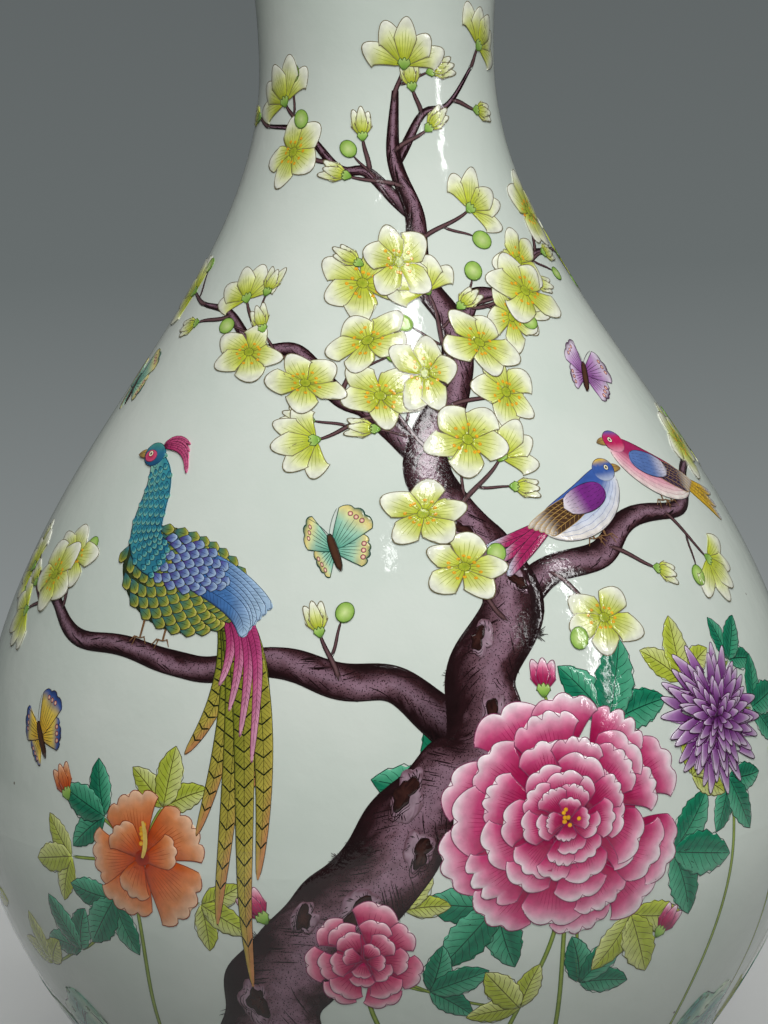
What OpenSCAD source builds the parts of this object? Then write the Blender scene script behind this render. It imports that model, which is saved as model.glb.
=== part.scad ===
// Pear-shaped porcelain vase with a trumpet mouth, the form called yuhuchunping.
// The clay is thrown in sections and turned: a foot ring, a bowl-shaped lower belly with the floor,
// an upper belly and a neck with its mouth. A layer of slip lutes each section to the next.
// Three coats of glaze cover the clay: one outside, one inside and one under the base.
// Every piece is turned about Z. The foot stands on Z = 0, and all sizes are in millimetres.

/* [Overall] */
// Height from the table to the top of the lip
vase_h = 300; // [285:1:340]

/* [Foot] */
// Outer radius of the foot ring where it stands
foot_r = 54; // [50:0.5:60]
// Outer radius of the foot ring where it meets the belly
foot_top_r = 52; // [48:0.5:58]
// Height of the foot ring, from the table to the belly
foot_h = 14; // [10:0.5:20]
// Thickness of the foot ring
foot_wall = 8; // [6:0.5:12]
// Radius of the rounded edges of the rim that stands on the table
foot_round = 2; // [1:0.25:2.5]
// Height of the bare clay rim below the glaze
bare_rim_h = 4; // [3:0.5:6]

/* [Belly] */
// Greatest radius of the belly, over the glaze
belly_r = 91; // [84:0.5:100]
// Height of the widest line of the belly
belly_z = 86; // [78:1:96]
// Pull of the curve straight down from the widest line
belly_drop = 30; // [22:1:38]
// Pull of the curve straight up from the widest line
belly_rise = 70; // [56:1:80]
// Pull of the curve where the belly leaves the foot
foot_sweep = 9; // [4:1:16]
// Lean of the belly where it leaves the foot, in degrees above level
foot_lean = 42; // [35:1:60]

/* [Neck and mouth] */
// Least radius of the neck, over the glaze
neck_r = 25.4; // [22:0.2:30]
// Height of the narrowest line of the neck
neck_z = 244; // [230:1:256]
// Pull of the curve straight down from the narrowest line
neck_drop = 53; // [42:1:62]
// Pull of the curve straight up from the narrowest line
neck_rise = 22; // [14:1:28]
// How far the neck section reaches below its narrowest line
neck_tail = 42; // [30:1:60]
// Outer radius of the mouth
mouth_r = 41; // [36:0.5:48]
// Lean of the mouth at the lip, in degrees from upright
mouth_lean = 46; // [30:1:60]
// Pull of the curve down from the lip
mouth_sweep = 16; // [10:1:22]

/* [Walls and coats] */
// Thickness of the body wall with its glaze
body_wall = 4.6; // [3.6:0.2:6]
// Thickness of the lip with its glaze
lip_t = 3; // [2.4:0.2:4]
// Thickness of the clay floor
floor_t = 6; // [4:0.5:9]
// Thickness of each coat of glaze
glaze_t = 0.5; // [0.3:0.1:0.8]
// Thickness of the slip in each luted seam
slip_t = 0.8; // [0.4:0.1:1.5]

/* [Hidden] */

// Rings of points along the belly below and above its widest line, the neck section and the foot
lower_steps = 22;
upper_steps = 30;
neck_steps = 30;
foot_steps = 3;
// Points round each quarter of the lip and of the foot's rounded edges
arc_steps = 6;
// Halvings used to find where a curve reaches a height
search_steps = 40;
$fn = 128;

clay_color = "#e6e3d8";
slip_color = "#efe7d4";
glaze_color = "#dbe3dc";

// Seams: the top face of the slip under each section
foot_seam = foot_h;
belly_seam = belly_z + slip_t / 2;
neck_seam = neck_z - neck_tail;
floor_z = foot_h + floor_t;

// The lip is a half round. Its centre gives the full height and the mouth's full radius
lip_r = lip_t / 2;
lip_clay_r = lip_r - glaze_t;
lip_centre = [mouth_r - lip_r, vase_h - lip_r];
lip_along = [sin(mouth_lean), cos(mouth_lean)];
lip_inward = [-cos(mouth_lean), sin(mouth_lean)];
lip_outer_edge = lip_centre - lip_inward * lip_r;
lip_z = lip_outer_edge[1];

// The outline over the glaze is three cubic curves, each four control points of radius and height
lower_curve = [
    [foot_top_r, foot_h],
    [foot_top_r + foot_sweep * cos(foot_lean), foot_h + foot_sweep * sin(foot_lean)],
    [belly_r, belly_z - belly_drop],
    [belly_r, belly_z]
];
upper_curve = [
    [belly_r, belly_z],
    [belly_r, belly_z + belly_rise],
    [neck_r, neck_z - neck_drop],
    [neck_r, neck_z]
];
mouth_curve = [
    [neck_r, neck_z],
    [neck_r, neck_z + neck_rise],
    lip_outer_edge - lip_along * mouth_sweep,
    lip_outer_edge
];

// A point of a cubic curve, and the curve's direction there
function curve_at(c, t) = pow(1 - t, 3) * c[0] + 3 * pow(1 - t, 2) * t * c[1]
    + 3 * (1 - t) * t * t * c[2] + t * t * t * c[3];
function curve_way(c, t) = pow(1 - t, 2) * (c[1] - c[0]) + 2 * (1 - t) * t * (c[2] - c[1])
    + t * t * (c[3] - c[2]);

// Where along a rising curve the height z is reached, by halving the span
function curve_t(c, z, low = 0, high = 1, left = search_steps) =
    let (mid = (low + high) / 2)
    left == 0 ? mid
    : curve_at(c, mid)[1] < z ? curve_t(c, z, mid, high, left - 1)
    : curve_t(c, z, low, mid, left - 1);

// Radius over the glaze at a height of the belly or neck, and its change per millimetre of height
function curve_for(z) = z < belly_z ? lower_curve : z < neck_z ? upper_curve : mouth_curve;
function outline_t(z) = curve_t(curve_for(z), min(z, lip_z));
function outline_slope(z) = let (way = curve_way(curve_for(z), outline_t(z))) way[0] / way[1];
function outline_r(z) = curve_at(curve_for(z), outline_t(z))[0]
    + max(0, z - lip_z) * tan(mouth_lean);

// Wall with its glaze: even up to the neck, then thinner towards the lip
function wall_at(z) = z < neck_z ? body_wall
    : body_wall + (lip_t - body_wall) * min(1, (z - neck_z) / (lip_z - neck_z));

// Radius at a depth under the glaze, measured square to the wall
function under_r(z, depth) = outline_r(z) - depth * sqrt(1 + pow(outline_slope(z), 2));
function clay_out_r(z) = under_r(z, glaze_t);
function clay_in_r(z) = under_r(z, wall_at(z) - glaze_t);
function hollow_r(z) = under_r(z, wall_at(z));

// The foot ring's straight outer side, from the table up to the belly
function foot_side_r(z) = foot_r + (foot_top_r - foot_r) * z / foot_h;
function foot_clay_r(z) = foot_side_r(z) - glaze_t;
// Its bore lies a wall's thickness inside the narrower end of that side
foot_in_r = min(foot_r, foot_top_r) - foot_wall;

// Heights along each section, so that clay and glaze share every ring
function steps(from, to, count) = [for (i = [0 : count]) from + (to - from) * i / count];
function backwards(list) = [for (i = [len(list) - 1 : -1 : 0]) list[i]];
foot_heights = steps(bare_rim_h, foot_seam - slip_t, foot_steps);
lower_heights = steps(foot_seam, belly_seam - slip_t, lower_steps);
upper_heights = steps(belly_seam, neck_seam - slip_t, upper_steps);
neck_heights = steps(neck_seam, lip_z, neck_steps);
body_heights = concat(lower_heights, upper_heights, neck_heights);
hollow_heights = [for (z = body_heights) if (z > floor_z + glaze_t) z];

// Points of the lip's half round from its outer edge to its crest, and from there to its inner edge
function lip_arc(r, from, to) = [for (i = [0 : arc_steps])
    let (turn = from + (to - from) * i / arc_steps)
    lip_centre - r * cos(turn) * lip_inward + r * sin(turn) * lip_along];
function lip_outside(r) = lip_arc(r, 0, 90);
function lip_inside(r) = lip_arc(r, 90, 180);

// A ring of clay wall between two heights
module clay_wall(heights) {
    rotate_extrude()
        polygon(concat(
            [for (z = heights) [clay_out_r(z), z]],
            [for (z = backwards(heights)) [clay_in_r(z), z]]));
}

// A flat ring of slip below a seam, as wide as the clay wall there
module slip_ring(seam) {
    clay_wall([seam - slip_t, seam]);
}

// The turned foot: a ring with a straight side and a rim that is rounded where it stands
module foot_ring() {
    top = foot_seam - slip_t;
    rim_out = foot_r - glaze_t;
    out_round = [for (i = [0 : arc_steps])
        let (turn = 90 * i / arc_steps)
        [rim_out - foot_round + foot_round * sin(turn), foot_round - foot_round * cos(turn)]];
    in_round = [for (i = [0 : arc_steps])
        let (turn = 90 * i / arc_steps)
        [foot_in_r + foot_round - foot_round * cos(turn), foot_round - foot_round * sin(turn)]];
    color(clay_color)
        rotate_extrude()
            polygon(concat(out_round, [for (z = foot_heights) [foot_clay_r(z), z]],
                [[foot_in_r, top]], in_round));
}

// The slip between the foot ring and the flat underside of the lower belly
module foot_slip() {
    low = foot_seam - slip_t;
    color(slip_color)
        rotate_extrude()
            polygon([[foot_in_r, low], [foot_clay_r(low), low],
                [foot_clay_r(foot_seam), foot_seam], [foot_in_r, foot_seam]]);
}

// The thrown bowl of the lower belly, with the vase's floor
module lower_belly() {
    wall_heights = [for (z = lower_heights) if (z > floor_z) z];
    color(clay_color)
        rotate_extrude()
            polygon(concat([[0, foot_seam]],
                [for (z = lower_heights) [clay_out_r(z), z]],
                [for (z = backwards(wall_heights)) [clay_in_r(z), z]],
                [[clay_in_r(floor_z), floor_z], [0, floor_z]]));
}

module belly_slip() {
    color(slip_color) slip_ring(belly_seam);
}

module upper_belly() {
    color(clay_color) clay_wall(upper_heights);
}

module neck_slip() {
    color(slip_color) slip_ring(neck_seam);
}

// The neck and its trumpet mouth, thrown as one section and ending in the half-round lip
module neck() {
    color(clay_color)
        rotate_extrude()
            polygon(concat(
                [for (z = neck_heights) [clay_out_r(z), z]],
                lip_outside(lip_clay_r), lip_inside(lip_clay_r),
                [for (z = backwards(neck_heights)) [clay_in_r(z), z]]));
}

// The outside coat, from the bare rim of the foot to the crest of the lip
module outer_glaze() {
    color(glaze_color)
        rotate_extrude()
            polygon(concat(
                [for (z = foot_heights) [foot_side_r(z), z]],
                [for (z = body_heights) [outline_r(z), z]],
                lip_outside(lip_r),
                backwards(lip_outside(lip_clay_r)),
                [for (z = backwards(body_heights)) [clay_out_r(z), z]],
                [[foot_clay_r(foot_seam), foot_seam]],
                [for (z = backwards(foot_heights)) [foot_clay_r(z), z]]));
}

// The inside coat, rinsed over the floor and up the wall to the crest of the lip
module inner_glaze() {
    pool_z = floor_z + glaze_t;
    color(glaze_color)
        rotate_extrude()
            polygon(concat(
                [[0, floor_z], [clay_in_r(floor_z), floor_z]],
                [for (z = body_heights) if (z > floor_z) [clay_in_r(z), z]],
                backwards(lip_inside(lip_clay_r)),
                lip_inside(lip_r),
                [for (z = backwards(hollow_heights)) [hollow_r(z), z]],
                [[hollow_r(pool_z), pool_z], [0, pool_z]]));
}

// The coat under the base: a disc that turns down inside the foot ring and stops above the bare rim
module base_glaze() {
    low = foot_seam - glaze_t;
    inside = foot_in_r - glaze_t;
    color(glaze_color)
        rotate_extrude()
            polygon([[0, low], [inside, low], [inside, bare_rim_h], [foot_in_r, bare_rim_h],
                [foot_in_r, foot_seam], [0, foot_seam]]);
}

foot_ring();
foot_slip();
lower_belly();
belly_slip();
upper_belly();
neck_slip();
neck();
outer_glaze();
inner_glaze();
base_glaze();
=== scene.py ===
# %% [markdown]
# # A pear-shaped porcelain vase, painted in enamels over its glaze
# The vase is thrown in sections, glazed, fired, painted and fired again, so what the eye meets is three
# things: a glassy coat, a film of coloured enamels that stands a little proud of it, and a bare clay rim.
# The CAD frame gives every size. This lesson turns smooth coats on the frame's own outline, paints on a flat
# map of the vase, and lets Geometry Nodes wrap the painting round it.

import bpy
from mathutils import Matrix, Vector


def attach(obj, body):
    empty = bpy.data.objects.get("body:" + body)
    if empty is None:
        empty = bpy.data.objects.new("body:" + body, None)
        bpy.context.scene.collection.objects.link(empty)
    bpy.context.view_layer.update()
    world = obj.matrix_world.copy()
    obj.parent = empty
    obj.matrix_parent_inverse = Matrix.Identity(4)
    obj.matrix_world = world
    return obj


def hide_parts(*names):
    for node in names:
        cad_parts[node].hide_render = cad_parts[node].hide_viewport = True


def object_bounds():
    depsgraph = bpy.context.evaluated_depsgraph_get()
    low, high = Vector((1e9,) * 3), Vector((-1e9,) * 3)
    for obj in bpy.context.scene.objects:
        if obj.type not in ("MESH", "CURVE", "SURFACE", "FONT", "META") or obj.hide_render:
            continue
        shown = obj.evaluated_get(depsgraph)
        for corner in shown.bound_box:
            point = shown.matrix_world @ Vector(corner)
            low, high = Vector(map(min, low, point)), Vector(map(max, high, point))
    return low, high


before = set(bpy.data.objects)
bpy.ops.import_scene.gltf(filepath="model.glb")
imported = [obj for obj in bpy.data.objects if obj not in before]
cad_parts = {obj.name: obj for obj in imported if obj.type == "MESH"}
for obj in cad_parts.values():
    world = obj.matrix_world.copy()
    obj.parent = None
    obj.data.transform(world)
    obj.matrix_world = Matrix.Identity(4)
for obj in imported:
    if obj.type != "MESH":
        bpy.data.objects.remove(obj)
cad_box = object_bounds()

import copy
import math

import bpy
import numpy as np
from mathutils import Quaternion, Vector

MM = 0.001
scene = bpy.context.scene
print("CAD box in mm:", [round(float(v) / MM, 1) for v in (*cad_box[0], *cad_box[1])])

# %% [markdown]
# ## Colours and nodes
# Colours are written as sRGB hex codes, the way a colour picker shows them, and shaders want linear light.
# Small helpers are enough for all that follows: one turns a hex code into linear light, and one adds a node
# to any tree, shader or geometry, and fills its inputs with values or links.


# %% Colour and node helpers
def linear(code):
    """The linear colour of an sRGB hex code."""
    parts = np.array([int(code[i : i + 2], 16) for i in (1, 3, 5)]) / 255
    return np.where(parts <= 0.04045, parts / 12.92, ((parts + 0.055) / 1.055) ** 2.4)


def rgba(code):
    """The same colour with full alpha, as sockets want it."""
    return (*linear(code), 1.0)


def add(tree, kind, settings=None, inputs=None):
    """Adds a node, sets its properties and fills its inputs with values, sockets or other nodes."""
    made = tree.nodes.new(kind)
    for name, value in (settings or {}).items():
        setattr(made, name, value)
    for key, value in (inputs or {}).items():
        if isinstance(value, bpy.types.Node):
            value = value.outputs[0]
        if isinstance(value, bpy.types.NodeSocket):
            tree.links.new(value, made.inputs[key])
        else:
            made.inputs[key].default_value = value
    return made


print("Glaze white in linear light:", linear("#d2d9d0").round(3))

# %% [markdown]
# ## The outline of the glaze
# Everything painted has to lie on the vase, so the first measure taken is the outline of the outer coat.
# The CAD mesh is made of flat-sided rings. The points of its outward faces, sorted by height, give radius and
# height along the coat, and a smooth line through them takes the facets out. The one true corner, where the
# belly meets the foot, is kept.


# %% Read the rings of a coat
def side_points(node, wanted):
    """Radius and height of each ring of a turned node's faces that wanted(outward, up, height) picks."""
    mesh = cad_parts[node].data
    rings = {}
    for face in mesh.polygons:
        out = Vector((face.center.x, face.center.y, 0)).normalized()
        if wanted(face.normal.dot(out), face.normal.z, face.center.z):
            for i in face.vertices:
                x, y, z = mesh.vertices[i].co
                rings.setdefault((round(z, 6), round(math.hypot(x, y), 5)), (math.hypot(x, y), z))
    return np.array(list(rings.values()))


outer = side_points("outer_glaze", lambda out, up, z: out > 0.05)
print("Rings of the outer coat:", len(outer))


# %% Smooth the outline
def through(points, steps):
    """A smooth line through every point, with this many steps between neighbours."""
    p = np.array(points, float)
    p = np.vstack([2 * p[0] - p[1], p, 2 * p[-1] - p[-2]])
    s = np.linspace(0, 1, steps, endpoint=False)[:, None]
    runs = [
        b + 0.5 * s * (c - a + s * (2 * a - 5 * b + 4 * c - d + s * (3 * (b - c) + d - a)))
        for a, b, c, d in zip(p, p[1:], p[2:], p[3:])
    ]
    return np.vstack([*runs, p[-2:-1]])


CORNER = math.radians(25)
# Steps of a smooth outline from one ring to the next
OUTLINE_STEPS = 3


def smooth_outline(points):
    """Smooths a line of ring points and keeps its sharp corners."""
    way = np.diff(points, axis=0)
    turn = np.abs(np.diff(np.unwrap(np.arctan2(way[:, 1], way[:, 0]))))
    cuts = [0, *(np.nonzero(turn > CORNER)[0] + 1), len(points) - 1]
    runs = [through(points[a : b + 1], OUTLINE_STEPS) for a, b in zip(cuts, cuts[1:])]
    return np.vstack([runs[0], *(run[1:] for run in runs[1:])])


outer = smooth_outline(outer[np.argsort(outer[:, 1])])
out_r, out_z = outer.T
out_length = np.concatenate([[0], np.cumsum(np.hypot(*np.diff(outer, axis=0).T))])
print("Outline:", len(outer), "points,", round(out_length[-1] / MM, 1), "mm long")

# %% [markdown]
# ## Camera, floor and light
# The photograph is taken from close by, a little above the middle of the belly, with the camera held slightly
# askew, so that the mouth and the foot fall outside it. The floor is plain and pale and the backdrop is the
# grey of a studio sweep. Glossy things need two kinds of lamp: wide ones that shape them, and small ones that
# glint.

# %% Place the camera
AIM = Vector((-0.6, 0, 146.5)) * MM
VIEW_DISTANCE = 550 * MM
VIEW_ELEVATION = math.radians(5)
VIEW_ROLL = math.radians(-1.3)
LENS_MM = 88
SENSOR_MM = 36
NEAREST = 50 * MM
back = Vector((0, -math.cos(VIEW_ELEVATION), math.sin(VIEW_ELEVATION)))
camera = bpy.data.objects.new("camera", bpy.data.cameras.new("camera"))
camera.location = AIM + back * VIEW_DISTANCE
level_view = (-back).to_track_quat("-Z", "Y")
camera.rotation_euler = (level_view @ Quaternion((0, 0, 1), VIEW_ROLL)).to_euler()
camera.data.lens = LENS_MM
camera.data.sensor_width = SENSOR_MM
camera.data.clip_start = NEAREST
scene.collection.objects.link(camera)
scene.camera = camera
scene.view_settings.view_transform = "Standard"
print("Camera at", [round(v / MM) for v in camera.location], "mm")

# %% Hang the lamps
MIDDLE = Vector((0, 0, 150)) * MM


def lamp(name, azimuth, elevation, distance, size, power, glints=True):
    """A rectangular lamp that faces the vase, at degrees right of the camera and above level, in m and W."""
    turn, rise = math.radians(azimuth), math.radians(elevation)
    out = Vector((math.sin(turn) * math.cos(rise), -math.cos(turn) * math.cos(rise), math.sin(rise)))
    data = bpy.data.lights.new(name, "AREA")
    data.shape = "RECTANGLE"
    data.size, data.size_y = size
    data.energy = power
    made = bpy.data.objects.new(name, data)
    made.location = MIDDLE + out * distance
    made.rotation_euler = (-out).to_track_quat("-Z", "Y").to_euler()
    made.visible_glossy = glints
    scene.collection.objects.link(made)


# Three wide lamps shape the vase softly and stay out of its gloss
lamp("key", 4, 39, 1.3, (0.8, 0.8), 11.7, glints=False)
lamp("over", 10, 78, 1.3, (1.0, 1.0), 4.2, glints=False)
lamp("back", 180, 30, 1.4, (0.9, 0.9), 8.5, glints=False)
# Four bright ones draw the highlights: a strip window, a ceiling lamp and two small lamps
lamp("window", 61, 27, 1.1, (0.05, 0.50), 1.4)
lamp("ceiling", 22, 63, 1.2, (0.16, 0.26), 1.6)
lamp("small_lamp", 1, 48, 1.2, (0.03, 0.10), 0.1)
lamp("side_lamp", 42, 31, 1.2, (0.05, 0.06), 0.1)
print("Lamps:", [light.name for light in bpy.data.lights])

# %% Hang the backdrop
world = bpy.data.worlds.new("studio")
scene.world = world
world.use_nodes = True
air = world.node_tree
air.nodes.clear()
path = add(air, "ShaderNodeLightPath")
seen = add(air, "ShaderNodeMath", {"operation": "MAXIMUM"},
           {0: path.outputs["Is Camera Ray"], 1: path.outputs["Is Glossy Ray"]})
# The glaze mirrors the room round the sweep, which is darker than the sweep itself
dim = add(air, "ShaderNodeMath", {"operation": "MULTIPLY_ADD"},
          {0: path.outputs["Is Glossy Ray"], 1: -0.5, 2: 1.0})
ways = add(air, "ShaderNodeTexCoord")
level = add(air, "ShaderNodeSeparateXYZ", None, {0: ways.outputs["Generated"]})
climb = add(air, "ShaderNodeMapRange", None, {"Value": level.outputs["Z"], 1: -0.2, 2: 0.3})
sweep = add(air, "ShaderNodeValToRGB", None, {0: climb})
sweep.color_ramp.elements[0].position = 0.1
sweep.color_ramp.elements[0].color = rgba("#8b9090")
sweep.color_ramp.elements[1].position = 0.9
sweep.color_ramp.elements[1].color = rgba("#585c5d")
sweep.color_ramp.elements.new(0.42).color = rgba("#676d6d")
backdrop = add(air, "ShaderNodeBackground", None, {0: sweep, 1: dim})
fill_light = add(air, "ShaderNodeBackground", None, {0: rgba("#f4f6f8"), 1: 0.11})
either = add(air, "ShaderNodeMixShader", None, {0: seen, 1: fill_light, 2: backdrop})
add(air, "ShaderNodeOutputWorld", None, {0: either})
print("Backdrop:", len(air.nodes), "nodes")


# %% Lay the floor
def new_finish(name):
    """A new material and its empty tree."""
    made = bpy.data.materials.new(name)
    made.use_nodes = True
    made.node_tree.nodes.clear()
    return made, made.node_tree


def end_finish(tree, inputs):
    """Ends a finish in one shader with these values and links."""
    shader = add(tree, "ShaderNodeBsdfPrincipled", None, inputs)
    add(tree, "ShaderNodeOutputMaterial", None, {0: shader})


FLOOR_RADIUS = 800 * MM
FLOOR_SIDES = 96
floor_mesh = bpy.data.meshes.new("floor")
angles = np.linspace(0, math.tau, FLOOR_SIDES, endpoint=False)
rim = [(FLOOR_RADIUS * math.cos(a), FLOOR_RADIUS * math.sin(a), 0) for a in angles]
floor_mesh.from_pydata(rim, [], [range(len(rim))])
floor = bpy.data.objects.new("floor", floor_mesh)
scene.collection.objects.link(floor)
paper, tree = new_finish("pale_paper")
# The paper looks pale but throws little light up at the belly, whose underside is dark
bounce = add(tree, "ShaderNodeLightPath").outputs["Is Diffuse Ray"]
shade = add(tree, "ShaderNodeMix", {"data_type": "RGBA"},
            {0: bounce, 6: rgba("#b9bbb9"), 7: rgba("#6c6e6c")})
end_finish(tree, {"Base Color": shade.outputs[2], "Roughness": 0.8})
floor_mesh.materials.append(paper)
print("Floor:", round(2 * FLOOR_RADIUS, 2), "m across")

# %% [markdown]
# ## Finishes
# The coat is a clear glaze over white porcelain: glassy, with a faint grey-green tint where it lies thick, a
# slight ripple, and now and then a speck of iron. Enamel is a softer glass, ground with colour and laid on
# wet. Each mark dries as a shallow pool and melts in the kiln, so it catches the light at its rim, and its
# gloss is a little less even. The pool could be domed in the mesh, but a bump keeps the thin layers in order.
# The foot's rim is bare clay.


# %% Glaze
def clear_glaze():
    """Clear feldspar glaze, dipped and fired on white porcelain: wet-looking, pale and faintly green."""
    made, tree = new_finish("clear_glaze_on_porcelain")
    where = add(tree, "ShaderNodeTexCoord").outputs["Object"]
    # Thick and thin glaze: cloudy patches about 30 mm across
    cloud = add(tree, "ShaderNodeTexNoise", None, {"Vector": where, "Scale": 1 / (30 * MM), "Detail": 3.0})
    tint = add(tree, "ShaderNodeValToRGB", None, {0: cloud})
    tint.color_ramp.elements[0].position = 0.35
    tint.color_ramp.elements[0].color = rgba("#cbd5cb")
    tint.color_ramp.elements[1].position = 0.7
    tint.color_ramp.elements[1].color = rgba("#d5dcd3")
    # Iron specks: one in each 14 mm cell of space, seen where it meets the surface as a dot under 1 mm
    cells = add(tree, "ShaderNodeTexVoronoi", None, {"Vector": where, "Scale": 1 / (14 * MM)})
    speck = add(tree, "ShaderNodeMapRange", None,
                {"Value": cells.outputs["Distance"], 1: 0.012, 2: 0.03, 3: 1.0, 4: 0.0})
    dotted = add(tree, "ShaderNodeMix", {"data_type": "RGBA"}, {0: speck, 6: tint, 7: rgba("#5b4a38")})
    # The ripple of a dipped glaze, 4 mm from crest to crest, with finer ripples on it
    ripple = add(tree, "ShaderNodeTexNoise", None, {"Vector": where, "Scale": 1 / (4 * MM), "Detail": 4.0})
    bump = add(tree, "ShaderNodeBump", None, {"Strength": 1.0, "Distance": 0.1 * MM, "Height": ripple})
    end_finish(tree, {"Base Color": dotted.outputs[2], "Normal": bump, "Roughness": 0.07, "IOR": 1.52})
    return made


glaze = clear_glaze()
print("Finish:", glaze.name)


# %% Enamel
def overglaze_enamel():
    """Soft glass ground with colour, brushed on and fired: deep colour under an uneven gloss."""
    made, tree = new_finish("overglaze_enamel")
    where = add(tree, "ShaderNodeTexCoord").outputs["Object"]
    paint = add(tree, "ShaderNodeAttribute", {"attribute_name": "enamel"})
    # Brushed enamel lies unevenly: thin and thick patches about 2 mm across
    patch = add(tree, "ShaderNodeTexNoise", None, {"Vector": where, "Scale": 1 / (2 * MM), "Detail": 4.0})
    wash = add(tree, "ShaderNodeMapRange", None, {"Value": patch, 1: 0.3, 2: 0.7, 3: 0.78, 4: 1.04})
    uneven = add(tree, "ShaderNodeVectorMath", {"operation": "SCALE"},
                 {0: paint.outputs["Color"], "Scale": wash})
    pebble = add(tree, "ShaderNodeTexNoise", None, {"Vector": where, "Scale": 1 / (1.2 * MM), "Detail": 2.0})
    grain = add(tree, "ShaderNodeBump", None, {"Strength": 0.9, "Distance": 0.06 * MM, "Height": pebble})
    # Each mark stood as a wet pool, flat in its middle and rounded off at its rim
    pool = add(tree, "ShaderNodeAttribute", {"attribute_name": "pool"})
    side, end, deep = add(tree, "ShaderNodeSeparateXYZ", None, {0: pool.outputs["Vector"]}).outputs
    power = [add(tree, "ShaderNodeMath", {"operation": "POWER"}, {0: way, 1: 4.0}) for way in (side, end)]
    fall = [add(tree, "ShaderNodeMath", {"operation": "SUBTRACT"}, {0: 1.0, 1: part}) for part in power]
    both = add(tree, "ShaderNodeMath", {"operation": "MULTIPLY"}, dict(enumerate(fall)))
    rounded = add(tree, "ShaderNodeMath", {"operation": "SQRT"}, {0: both})
    dome = add(tree, "ShaderNodeMath", {"operation": "MULTIPLY"}, {0: rounded, 1: deep})
    bump = add(tree, "ShaderNodeBump", None,
               {"Strength": 1.0, "Distance": MM, "Height": dome, "Normal": grain})
    gloss = add(tree, "ShaderNodeMapRange", None, {"Value": patch, 1: 0.3, 2: 0.7, 3: 0.06, 4: 0.15})
    end_finish(tree, {"Base Color": uneven, "Normal": bump, "Roughness": gloss, "IOR": 1.5})
    return made


enamel = overglaze_enamel()
print("Finish:", enamel.name)


# %% Bare clay
def biscuit():
    """Unglazed porcelain where the foot stood in the kiln: matt, gritty and toasted."""
    made, tree = new_finish("biscuit_porcelain")
    where = add(tree, "ShaderNodeTexCoord").outputs["Object"]
    grit = add(tree, "ShaderNodeTexNoise", None, {"Vector": where, "Scale": 1 / (0.8 * MM), "Detail": 6.0})
    burn = add(tree, "ShaderNodeValToRGB", None, {0: grit})
    burn.color_ramp.elements[0].position = 0.3
    burn.color_ramp.elements[0].color = rgba("#cbb99c")
    burn.color_ramp.elements[1].position = 0.65
    burn.color_ramp.elements[1].color = rgba("#e6dfd0")
    bump = add(tree, "ShaderNodeBump", None, {"Strength": 0.5, "Distance": 0.1 * MM, "Height": grit})
    end_finish(tree, {"Base Color": burn, "Normal": bump, "Roughness": 0.75})
    return made


clay = biscuit()
for name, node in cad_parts.items():
    node.data.materials.clear()
    node.data.materials.append(glaze if "glaze" in name else clay)
print("Finish:", clay.name)

# %% [markdown]
# ## Turning the coats
# A coat of glaze is a thin shell of revolution. A lathe in Geometry Nodes makes it: a grid whose columns go
# round the vase and whose rows are the points of an outline. The outline runs up the outside of the coat and
# back down its hidden side, so the shell is closed and has its real thickness.


# %% Start and end a tree
def new_tree(name, inputs):
    """A new tree with named inputs and geometry as its output, and the sockets that give the inputs."""
    tree = bpy.data.node_groups.new(name, "GeometryNodeTree")
    for label, kind in inputs.items():
        tree.interface.new_socket(name=label, in_out="INPUT", socket_type="NodeSocket" + kind)
    tree.interface.new_socket(name="Geometry", in_out="OUTPUT", socket_type="NodeSocketGeometry")
    return tree, add(tree, "NodeGroupInput").outputs


def end_tree(tree, geometry, material):
    """Ends a tree in real geometry with its finish."""
    real = add(tree, "GeometryNodeRealizeInstances", None, {"Geometry": geometry})
    dressed = add(tree, "GeometryNodeSetMaterial", None, {"Geometry": real, "Material": material})
    add(tree, "NodeGroupOutput", None, {0: dressed})


print("Trees end in real geometry with a finish")

# %% A lathe in Geometry Nodes
# Points closer than this become one, which closes the seam and the poles
JOIN = 0.001 * MM


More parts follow.
